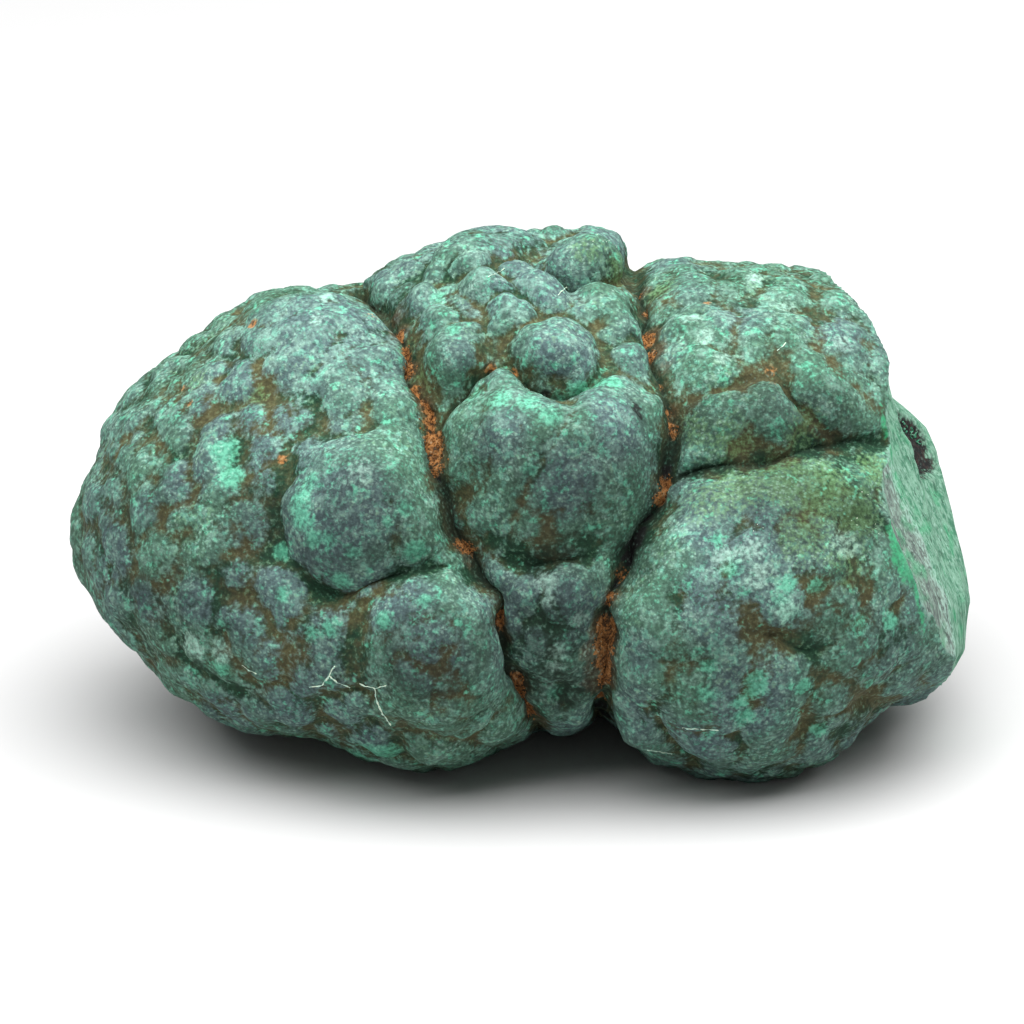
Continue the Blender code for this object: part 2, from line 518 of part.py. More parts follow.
# Fewer, larger faces that keep the shape.
stone_object = bpy.data.objects.new("malachite_stone", dense)
bpy.context.scene.collection.objects.link(stone_object)
thin_out = stone_object.modifiers.new("fewer faces", "DECIMATE")
thin_out.ratio = TRIANGLES / (2 * len(quads))
evaluated = stone_object.evaluated_get(bpy.context.evaluated_depsgraph_get())
mesh = bpy.data.meshes.new_from_object(evaluated)
stone_object.modifiers.clear()
stone_object.data = mesh
mesh.name = "malachite_stone"
bpy.data.meshes.remove(dense)

# The lowest tips are worn flat, all at one height.
for vertex in mesh.vertices:
    vertex.co.z = max(vertex.co.z, 0)

# Dull, finely granular grey-green all over.
malachite = bpy.data.materials.new("malachite")
malachite.use_nodes = True
shader = malachite.node_tree.nodes["Principled BSDF"]
shader.inputs["Base Color"].default_value = (0.114, 0.205, 0.188, 1)
shader.inputs["Roughness"].default_value = 0.8
mesh.materials.clear()
mesh.materials.append(malachite)
mesh.update()
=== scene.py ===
# %% [markdown]
# # A malachite specimen
# The specimen is one lump of malachite, about 76 mm long. It grew as rounded lumps crowded
# together, and later broke off square at its right end. A dull, velvety skin of fine green, slate
# and mint grains covers it, with rust-coloured clay left in the creases between the lobes.
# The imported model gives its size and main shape. This script builds the same stone again with a
# much finer mesh, and then finishes it: grain, clay, crystals, pale threads, light and camera.

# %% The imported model
import math

import bpy
import numpy as np
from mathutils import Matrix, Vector
from mathutils.bvhtree import BVHTree


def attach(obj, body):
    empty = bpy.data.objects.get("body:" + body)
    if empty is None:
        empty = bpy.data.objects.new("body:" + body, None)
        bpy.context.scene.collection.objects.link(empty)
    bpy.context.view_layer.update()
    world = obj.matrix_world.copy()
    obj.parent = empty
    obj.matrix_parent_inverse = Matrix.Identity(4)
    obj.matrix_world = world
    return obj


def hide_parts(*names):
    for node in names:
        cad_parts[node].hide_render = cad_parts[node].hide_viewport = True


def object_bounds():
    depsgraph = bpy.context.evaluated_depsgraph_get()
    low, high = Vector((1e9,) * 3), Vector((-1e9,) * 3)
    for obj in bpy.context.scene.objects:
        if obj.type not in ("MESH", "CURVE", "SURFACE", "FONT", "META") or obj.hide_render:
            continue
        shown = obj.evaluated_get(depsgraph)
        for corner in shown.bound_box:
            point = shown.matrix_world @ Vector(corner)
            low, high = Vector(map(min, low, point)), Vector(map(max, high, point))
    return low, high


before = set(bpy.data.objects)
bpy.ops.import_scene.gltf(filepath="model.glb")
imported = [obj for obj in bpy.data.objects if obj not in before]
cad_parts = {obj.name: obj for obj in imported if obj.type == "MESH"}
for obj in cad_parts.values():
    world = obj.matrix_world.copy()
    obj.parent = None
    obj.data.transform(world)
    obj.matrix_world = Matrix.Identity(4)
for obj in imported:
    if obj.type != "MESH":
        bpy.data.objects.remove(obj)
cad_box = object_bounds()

size_mm = (np.array(cad_box[1]) - np.array(cad_box[0])) * 1000
print("packed stone, mm:", size_mm.round(1), "nodes:", sorted(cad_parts))

# %% [markdown]
# ## The axes of the best face
# The best face leans back from upright, as on a stone laid on a table. Lumps and creases are far
# easier to place on the face than in the world, so they are given across the face, up the face and
# out of it, in millimetres. One small matrix turns those into the world's axes at the end.

# %% Axes and driving sizes
LEAN = 22.0            # degrees that the face leans back
FRONT = 20.0           # how far the body bulges to the front of its rim
BACK = 23.0            # and to the back
FULLNESS = 2.25        # 2 gives an ellipse from rim to top, more gives a fuller body
RIM = (-3.0, -0.22)    # the rim's place out of the face, and its slope up the face
SOFT_FLOOR = -19.9     # the underside flattens out about this height, before its lumps
FLOOR = -20.7          # the tips that reach below this height are worn flat: the stone rests here
ORIGIN = (-0.4, 2.7)   # the middle of the finished stone, across and from front to back
GRID = 128             # faces along each edge of the starting cube

ACROSS = np.array([1.0, 0.0, 0.0])
UP = np.array([0.0, math.sin(math.radians(LEAN)), math.cos(math.radians(LEAN))])
OUT = np.array([0.0, -math.cos(math.radians(LEAN)), math.sin(math.radians(LEAN))])
FACE = np.stack([ACROSS, UP, OUT])
LEVEL = FACE[:, 2]     # world up, in the face's axes
SHIFT = np.array([*ORIGIN, FLOOR])


def smoothstep(x, low, high):
    t = np.clip((x - low) / (high - low), 0, 1)
    return t * t * (3 - 2 * t)


print("mesh will have", 12 * GRID**2, "triangles")

# %% [markdown]
# ## A ball with an even grid
# A stone with no seams or poles starts best as a cube whose grid is blown up to a ball: every face
# is a quad of much the same size, and the six sides of the cube also make a natural map of the
# surface. A UV sphere would bunch its faces at two poles, and a remeshed solid would lose the
# sharp creases.

# %% Ball
def cube_sphere(count):
    """Unit directions and quads of a cube's grid blown up to a sphere."""
    steps = np.tan(np.linspace(-1, 1, count + 1) * math.pi / 4)
    sides = (
        ((1, 0, 0), (0, 1, 0), (0, 0, 1)), ((-1, 0, 0), (0, 0, 1), (0, 1, 0)),
        ((0, 1, 0), (0, 0, 1), (1, 0, 0)), ((0, -1, 0), (1, 0, 0), (0, 0, 1)),
        ((0, 0, 1), (1, 0, 0), (0, 1, 0)), ((0, 0, -1), (0, 1, 0), (1, 0, 0)),
    )
    corner = np.arange(count)[:, None] * (count + 1) + np.arange(count)[None]
    quad = np.stack([corner, corner + count + 1, corner + count + 2, corner + 1], -1).reshape(-1, 4)
    points, quads = [], []
    for side, (normal, u, v) in enumerate(np.array(sides, float)):
        grid = normal + steps[:, None, None] * u + steps[None, :, None] * v
        points.append(grid.reshape(-1, 3))
        quads.append(quad + side * (count + 1) ** 2)
    points = np.concatenate(points)
    points /= np.linalg.norm(points, axis=1, keepdims=True)
    _, first, index = np.unique(np.round(points, 7) + 0.0, axis=0, return_index=True,
                                return_inverse=True)
    return points[first], index.reshape(-1)[np.concatenate(quads)]


directions, quads = cube_sphere(GRID)
print("ball:", len(directions), "points,", len(quads), "quads")

# %% [markdown]
# ## The outline of the face
# Seen from the front the stone is an outline. It is read as a distance all round from the middle.
# Behind, the outline is blurred, because a notch in the front edge doesn't run right under the
# stone. So two lists of distances are kept: a close one for the rim, and an evened one.

# %% Outline
# Points on the outline, as (across, up).
OUTLINE = [
    (-37.6, 0), (-37.2, 2.5), (-35.5, 4.7), (-35.9, 6.8), (-33.6, 8.9), (-32.1, 11), (-29.6, 12.4),
    (-27.2, 14.2), (-26.1, 16.1), (-23.9, 16.8), (-21.8, 18.3), (-17.9, 18.1), (-15, 18.4),
    (-13, 19.8), (-10.1, 20.5), (-8.3, 21), (-6.5, 21.5), (-4.8, 22.5), (-2.1, 22.9), (1.6, 22.2),
    (4.6, 23.5), (7.4, 23.2), (8.7, 22.5), (9.1, 19.6), (11.7, 20.5), (14.5, 20.4), (17.4, 20),
    (21.8, 19.9), (25.7, 19.5), (29.2, 19.2), (33, 17.8), (38.5, 14), (40.6, 8), (42, 1.2),
    (42.3, -4.2), (41.6, -9.2), (39.5, -13.1), (36.4, -14.8), (34.2, -15.4), (30.3, -16.7),
    (28.3, -18.8), (25.7, -21.5), (22.4, -22.3), (18.5, -23.2), (14.7, -22.5), (11.2, -21.8),
    (9.4, -20.3), (8.2, -18.7), (6.4, -17), (5.4, -18.4), (3.6, -19.2), (1.2, -18.8), (-0.1, -19.8),
    (-2.9, -20.3), (-5.9, -22.3), (-9.5, -22), (-13.8, -21), (-17.4, -19.4), (-21.2, -19.1),
    (-24.8, -18.4), (-27.9, -16.9), (-30.2, -15.3), (-31.7, -13.2), (-34, -10.9), (-36.7, -8.1),
    (-37.2, -5.1),
]


def outline_radii(evened):
    """Distances from the middle of the face to its outline, all round, evened over some degrees."""
    points = np.array(OUTLINE)
    angles = np.arctan2(points[:, 1], points[:, 0])
    order = np.argsort(angles)
    radii = np.hypot(points[:, 0], points[:, 1])
    radii = np.interp(ROUND, angles[order], radii[order], period=2 * math.pi)
    half = int(evened * 2)
    window = np.hanning(2 * half + 1)
    window /= window.sum()
    return np.convolve(np.concatenate([radii[-half:], radii, radii[:half]]), window, "valid")


ROUND = np.linspace(-math.pi, math.pi, 1441)[:-1]
RIM_RADII = outline_radii(7)
INNER_RADII = outline_radii(42)
print("outline reaches", RIM_RADII.min().round(1), "to", RIM_RADII.max().round(1), "mm")

# %% [markdown]
# ## The plain body
# The stone bulges to the front and back of its outline as a worn pebble does, with a curve a
# little fuller than an ellipse. One formula for that keeps every point even, where a modelled
# block would have to be smoothed. The underside is eased flat, so that the stone lies still.

# %% Body
def body_reach(angle, out):
    """How far the body reaches across and out of the face, for a direction's angle and out part."""
    out = np.abs(out)
    rounder = smoothstep(out, 0.1, 0.7)
    radius = ((1 - rounder) * np.interp(angle, ROUND, RIM_RADII, period=2 * math.pi)
              + rounder * np.interp(angle, ROUND, INNER_RADII, period=2 * math.pi))
    flat = np.sqrt(1 - out**2)
    size = (flat**FULLNESS + out**FULLNESS) ** (1 / FULLNESS)
    return radius * flat / size, out / size


def flatten_underside(points):
    """The back half sags no lower than the soft floor; the face is left alone."""
    height = points @ LEVEL
    behind = smoothstep(RIM[0] + RIM[1] * points[:, 1] - points[:, 2], 0, 6)
    gap = height - SOFT_FLOOR
    eased = np.where(np.abs(gap) < 2.5, (gap + 2.5) ** 2 / 10, np.maximum(gap, 0))
    return points + ((eased - gap) * behind)[:, None] * LEVEL


def body(directions):
    """Points of the plain body, in the face's axes, for unit directions from its middle."""
    across, up, out = directions.T
    angle = np.arctan2(up, across)
    reach, depth = body_reach(angle, out)
    b = reach * np.sin(angle)
    c = RIM[0] + RIM[1] * b + np.where(out >= 0, FRONT, -BACK) * depth
    return flatten_underside(np.stack([reach * np.cos(angle), b, c], 1))


def is_front(points, margin):
    return points[:, 2] > RIM[0] + RIM[1] * points[:, 1] - margin


points = body(directions)
print("body, mm:", np.ptp(points, axis=0).round(1), "in the face's axes")

# %% [markdown]
# ## Finding a place on the face
# A lump or a crease is measured as a place across and up the face, and its depth has to be solved
# for. The body has no formula for that, so it is found by halving a range thirty times.

# %% Places on the face
def on_face(a, b):
    """The points of the body's front that lie over the face points (a, b)."""
    a = np.atleast_1d(np.asarray(a, float))
    b = np.atleast_1d(np.asarray(b, float))
    angle = np.arctan2(b, a)
    wanted = np.hypot(a, b)
    low = np.full(len(a), 0.02)
    high = np.ones(len(a))
    for _ in range(30):
        middle = (low + high) / 2
        too_far = body_reach(angle, middle)[0] > wanted
        low = np.where(too_far, middle, low)
        high = np.where(too_far, high, middle)
    reach, depth = body_reach(angle, low)
    share = np.minimum(reach / np.maximum(wanted, 1e-9), 1)
    return np.stack([a * share, b * share, RIM[0] + RIM[1] * b * share + FRONT * depth], 1)


print("middle of the face lies", round(float(on_face(0, 0)[0, 2]), 1), "mm out")

# %% [markdown]
# ## Broad swells
# Each lobe of the stone swells a little on its own. A few wide, soft mounds do this, and one
# shallow hollow. They are added up, so they melt into each other.

# %% Swells
# Each as (across, up, radius, rise). A negative rise is a hollow.
SWELLS = [
    (-19.2, 13.1, 11.1, 1.2), (-14.1, -0.5, 11.1, 1.4), (-8.1, -12.4, 11.1, 1.4),
    (-28.5, 0.4, 11.1, 0.8), (-3, 17.4, 9.4, 1), (2.6, 4.6, 10.2, 3.4), (2.9, -12.4, 6.8, -0.6),
    (20.8, -8.1, 16.2, 2.6), (19.9, 11.4, 12.8, 0.8),
]


def swell_height(points):
    height = np.zeros(len(points))
    for a, b, radius, rise in SWELLS:
        share = ((points - on_face(a, b)[0]) ** 2).sum(1) / radius ** 2
        height += rise * np.clip(1 - share, 0, 1) ** 2
    return height


print("swells:", len(SWELLS), "and the highest adds", swell_height(points).max().round(1), "mm")

# %% [markdown]
# ## Creases between the lobes
# Where two lobes grew against each other they leave a crease: rounded shoulders that fall to a
# narrow bottom. Each crease is a path of a few places with a depth and a width. They are listed one
# by one, because their course is what makes this stone this one.

# %% Crease paths
# Each place as (across, up, depth, width to each side).
CREASES = {
    "one": [
        (-15.2, 20.6, 2.6, 5), (-14.7, 18.7, 2.8, 5), (-12.5, 17.2, 2.8, 5), (-10.8, 15.5, 3, 5),
        (-10.3, 13.6, 3.2, 5), (-9.6, 11.9, 3.2, 5), (-8.8, 9.3, 3.2, 5), (-8.2, 7.2, 3.4, 5),
        (-7.5, 4.6, 4, 5.5), (-7.2, 2.9, 4, 6), (-6.4, 0.8, 4.2, 6), (-5.6, -2.6, 4.2, 6),
        (-4, -6, 4.2, 5), (-2.4, -8.5, 3.8, 4), (-1.5, -11.9, 3.4, 3.6), (-0.6, -15.4, 3.2, 3.6),
        (0.1, -16.8, 2.6, 3.4), (1.3, -19.2, 1.6, 2.8),
    ],
    "two": [
        (9.1, 20.6, 3, 5), (9.2, 19.5, 3, 5), (10.1, 17.8, 2.8, 5), (10.6, 14, 2.8, 4.5),
        (11.1, 12.1, 2.8, 4.5), (11.7, 10.2, 2.8, 4.5), (12.4, 8, 3, 5), (12.5, 6.3, 3.6, 5),
        (12.3, 4.2, 4.6, 5.5), (11.8, 2.1, 5.6, 5.5), (11, 0, 6, 5.5), (9.8, -2.2, 6.2, 5.5),
        (8.6, -4, 6.2, 5), (7.6, -6.4, 6, 4.4), (7, -8.5, 5.2, 4), (6.6, -11.5, 4.4, 4),
        (6.3, -14.9, 3.6, 4), (6.4, -17.2, 2.4, 3), (6.8, -20, 2, 3),
    ],
    "three": [
        (11.8, 2.1, 4.2, 6), (14, 3, 3.4, 6), (16.5, 3.4, 2.8, 6), (19.9, 3.8, 2.6, 6),
        (23.3, 4.7, 2.4, 6), (26.7, 5.2, 2.2, 6), (29.5, 5.5, 2, 5), (31.8, 5.8, 1.6, 5),
    ],
    "heart_top": [
        (-7.2, 2.9, 2.4, 4), (-7.5, 5.5, 2.2, 4), (-6.6, 7.8, 2.4, 4), (-5.4, 9.4, 2.2, 4),
        (-4.2, 10.6, 1.8, 3.5), (-3.1, 11.5, 1.6, 3.5), (-1.5, 11.6, 1.4, 3),
        (-0.4, 10.7, 1.8, 3.5), (0.8, 9.5, 2.6, 4), (2.2, 8.8, 3.4, 4.5), (4, 8.7, 2.8, 4.5),
        (5.6, 9.3, 1.6, 4), (6.8, 10.4, 0.8, 3),
    ],
    "under_round": [
        (-20.4, -4.7, 1, 3.5), (-18.3, -6.2, 1.4, 4), (-16.4, -7.3, 1.8, 4.5),
        (-14.1, -7.1, 2, 4.5), (-11.1, -6.2, 2.2, 4.5), (-8.5, -5.7, 2, 4.5), (-6, -5.2, 2.2, 4.5),
    ],
    "round_side": [
        (-19.2, 2.9, 1, 3.5), (-20.2, 1.2, 1.2, 3.5), (-20.7, -1.3, 1.2, 3.5),
        (-20.4, -4.7, 1, 3.5),
    ],
    "round_split": [
        (-10.8, 0.4, 0.5, 2), (-10.7, -2.2, 1.3, 2.8), (-10.5, -4.3, 1.5, 2.8), (-10.7, -6, 1.5, 3),
    ],
    "knee_side": [
        (-11.1, -6.2, 1.4, 3.5), (-13, -7.3, 1.2, 3.5), (-14.1, -9.1, 1.2, 3.5),
        (-14.5, -11.5, 1, 3.5), (-14.7, -14.1, 0.8, 3),
    ],
    "top_back": [
        (-0.5, 20.6, 1.2, 3.5), (1.7, 19.8, 2.6, 3.5), (4.2, 18.9, 2.8, 3.5), (6.3, 18.7, 2, 3.5),
        (9.1, 19.8, 1.6, 4),
    ],
    "left_rim": [
        (-22.4, 18.6, 0.8, 2.5), (-24.3, 16.7, 1, 2.5), (-26.4, 14.4, 1, 2.5),
        (-28.1, 13, 0.6, 2.5),
    ],
    "heart_low": [
        (-5.7, -3, 1.6, 5), (-2.2, -4.4, 2.2, 5), (1.7, -4.9, 2.6, 5.5), (5.5, -4.4, 2.4, 5),
        (8.2, -3.4, 2, 4),
    ],
    "right_fork": [
        (20.8, 11.3, 0.5, 2.5), (21.5, 9.6, 1.3, 3.2), (22.5, 8.2, 1.5, 3.4), (24.6, 6.5, 1.5, 3.2),
        (27.2, 5.8, 1.6, 3.2),
    ],
    "right_fork2": [
        (14, 8.7, 0.5, 2.2), (16.5, 9.2, 0.9, 2.6), (18.9, 9.9, 1, 2.8), (21.5, 9.7, 1.2, 3),
    ],
    "right_foot": [
        (10.8, -16.4, 0.6, 3), (11.6, -18.5, 1.2, 3.2), (12.7, -20.2, 1.4, 3.2),
        (14, -22.1, 1.4, 3.2),
    ],
    "right_heel": [
        (21.8, -19.2, 0.5, 2.5), (24.4, -17.1, 0.8, 2.5), (27.2, -16.4, 0.8, 2.5),
        (30, -15.8, 0.6, 2.5),
    ],
    "right_dimple": [
        (18.7, -10, 0.6, 3), (20.4, -11, 1.4, 3.4), (22.5, -11.3, 1.2, 3.4), (24.6, -10.7, 0.5, 3),
    ],
}
MAIN_CREASES = ("one", "two", "three", "heart_top")    # lumps die away beside these
CREASE_STEP = 0.68     # spacing of the points along a crease
CREASE_FADE = 2.1      # length over which a crease's ends get shallow
CREASE_NARROWING = 0.82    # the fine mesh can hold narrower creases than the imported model
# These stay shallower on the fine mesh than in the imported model.
SHALLOWER = {"heart_low": 0.6, "round_split": 0.8}
print("creases drawn:", ", ".join(CREASES))

# %% [markdown]
# ## Smooth paths
# The places of a crease are joined by a smooth curve, and its ends get shallow. A crease that
# reaches the rim of the face would stop there with a step, so it runs on round the rim.

# %% Smooth paths
def through(stations, at, values):
    """A smooth curve through the values, read at other stations along the same line."""
    slope = np.gradient(values, stations)
    k = np.clip(np.searchsorted(stations, at, side="right") - 1, 0, len(stations) - 2)
    step = stations[k + 1] - stations[k]
    t = (at - stations[k]) / step
    return ((2 * t**3 - 3 * t**2 + 1) * values[k] + (t**3 - 2 * t**2 + t) * step * slope[k]
            + (3 * t**2 - 2 * t**3) * values[k + 1] + (t**3 - t**2) * step * slope[k + 1])


def round_the_rim(path, deep, wide):
    """A crease that reaches the rim of the face runs on round it, and dies out behind."""
    for end, way in ((0, 1), (-1, -1)):
        if path[end, 2] > RIM[0] + RIM[1] * path[end, 1] + 3:
            continue
        inwards = path[end] * (-1, -1, 0)
        extra = path[end] + np.outer((1.5, 4, 8), (0, 0, -1)) + np.outer((0, 0.02, 0.08), inwards)
        fade = deep[end] * np.array([0.85, 0.45, 0.05])
        same = np.repeat(wide[end], 3)
        path = np.concatenate([extra[::-1], path] if way == 1 else [path, extra])
        deep = np.concatenate([fade[::-1], deep] if way == 1 else [deep, fade])
        wide = np.concatenate([same, wide] if way == 1 else [wide, same])
    return path, deep, wide


def crease_lines():
    """Every crease as a row of places on the body, with a depth and a width at each."""
    lines = []
    for name, line in CREASES.items():
        line = np.array(line, float)
        stations = np.concatenate([[0], np.cumsum(np.hypot(*np.diff(line[:, :2], axis=0).T))])
        at = np.linspace(0, stations[-1], max(2, int(stations[-1] / CREASE_STEP)))
        a, b, deep, wide = (through(stations, at, line[:, k]) for k in range(4))
        deep = deep * np.minimum(np.minimum(at, stations[-1] - at) / CREASE_FADE + 0.45, 1)
        deep = deep * SHALLOWER.get(name, 1)
        lines.append((name, *round_the_rim(on_face(a, b), deep, CREASE_NARROWING * wide)))
    return lines


LINES = crease_lines()
print("creases:", len(LINES), "with", sum(len(path) for _, path, _, _ in LINES), "places")

# %% [markdown]
# ## Which crease is near
# Each point of the stone needs the nearest place on a crease. It is found piece by piece along the
# path. A little wobble, a sum of seeded waves, keeps the edges from looking drawn.

# %% Beside a crease
def wobble(points, rate, seed):
    """A smooth, seeded unevenness in three directions, between about -1 and 1."""
    rng = np.random.default_rng(seed)
    result = np.zeros_like(points)
    for axis in range(3):
        for _ in range(7):
            wave = rng.normal(size=3)
            wave *= rate * rng.uniform(0.6, 1.5) / np.linalg.norm(wave)
            result[:, axis] += np.sin(points @ wave + rng.uniform(0, 2 * math.pi))
    return result / 2.6


def beside(points, path, deep, wide):
    """Which points lie by a crease; and for each the way to it, and its depth and width there."""
    inside = (points > path.min(0) - 8) & (points < path.max(0) + 8)
    near = np.where(is_front(points, 10) & inside.all(1))[0]
    spots = points[near] + 0.25 * wobble(points[near], 1.1, 5)
    best = np.full(len(near), 9.0)
    found = np.zeros((len(near), 5))
    for k in range(len(path) - 1):
        edge = path[k + 1] - path[k]
        t = np.clip((spots - path[k]) @ edge / (edge @ edge), 0, 1)[:, None]
        way = path[k] + t * edge - spots
        size = [deep[k], wide[k]] + t * [deep[k + 1] - deep[k], wide[k + 1] - wide[k]]
        share = np.linalg.norm(way, axis=1) / size[:, 1]
        closer = share < best
        best[closer] = share[closer]
        found[closer] = np.concatenate([way, size], 1)[closer]
    return near, found[:, :3], found[:, 3], found[:, 4]


print("points in reach of the first crease:", len(beside(points, *LINES[0][1:])[0]))

# %% [markdown]
# ## A finer grid at the creases
# A narrow crease needs more points than the even grid has. Adding points would break the grid, so
# those that lie on either side are drawn in towards the crease instead.

# %% Drawing points together
GATHER = 0.62          # how far the points move in beside a crease, as a share
GATHER_REACH = 3.2     # and how far from it this starts


def gathered(points):
    """Points drawn in towards the creases, so the mesh is finest where the stone bends most."""
    points = points.copy()
    for _, path, deep, wide in LINES:
        near, way, deep, _ = beside(points, path, deep, wide)
        away = np.linalg.norm(way, axis=1)
        share = GATHER * np.clip(1 - (away / GATHER_REACH) ** 2, 0, 1) ** 2
        points[near] += way * (share * smoothstep(deep, 0.3, 2.0))[:, None]
    return points


points = gathered(points)
print("points drawn in towards", len(LINES), "creases")

# %% [markdown]
# ## How deep the creases sink
# The wall of a crease follows part of a circle, so two lobes seem to meet rather than to be cut
# apart. Beside the main creases the lumps die away too, or they would bridge them.

# %% Crease depth
def crease_depth(points):
    """How deep the creases sink each point, what is left of a lump there, and how near one is."""
    depth = np.zeros(len(points))
    keep = np.ones(len(points))
    reach = np.full(len(points), 2.0)
    for name, path, deep, wide in LINES:
        near, way, deep, wide = beside(points, path, deep, wide)
        away = np.linalg.norm(way, axis=1)
        reach[near] = np.minimum(reach[near], away / wide)
        share = np.clip(np.sqrt((away / wide) ** 2 + 0.0009), 0, 1)
        depth[near] = np.maximum(depth[near], deep * (1 - np.sqrt(1 - (1 - share) ** 2)))
        if name in MAIN_CREASES:
            far = np.clip((away - 0.1) / (0.3 * deep + 0.7), 0, 1)
            keep[near] = np.minimum(keep[near], far * (2 - far))
    return depth, keep, reach


depth, keep, near = crease_depth(points)
print("deepest crease:", depth.max().round(1), "mm")
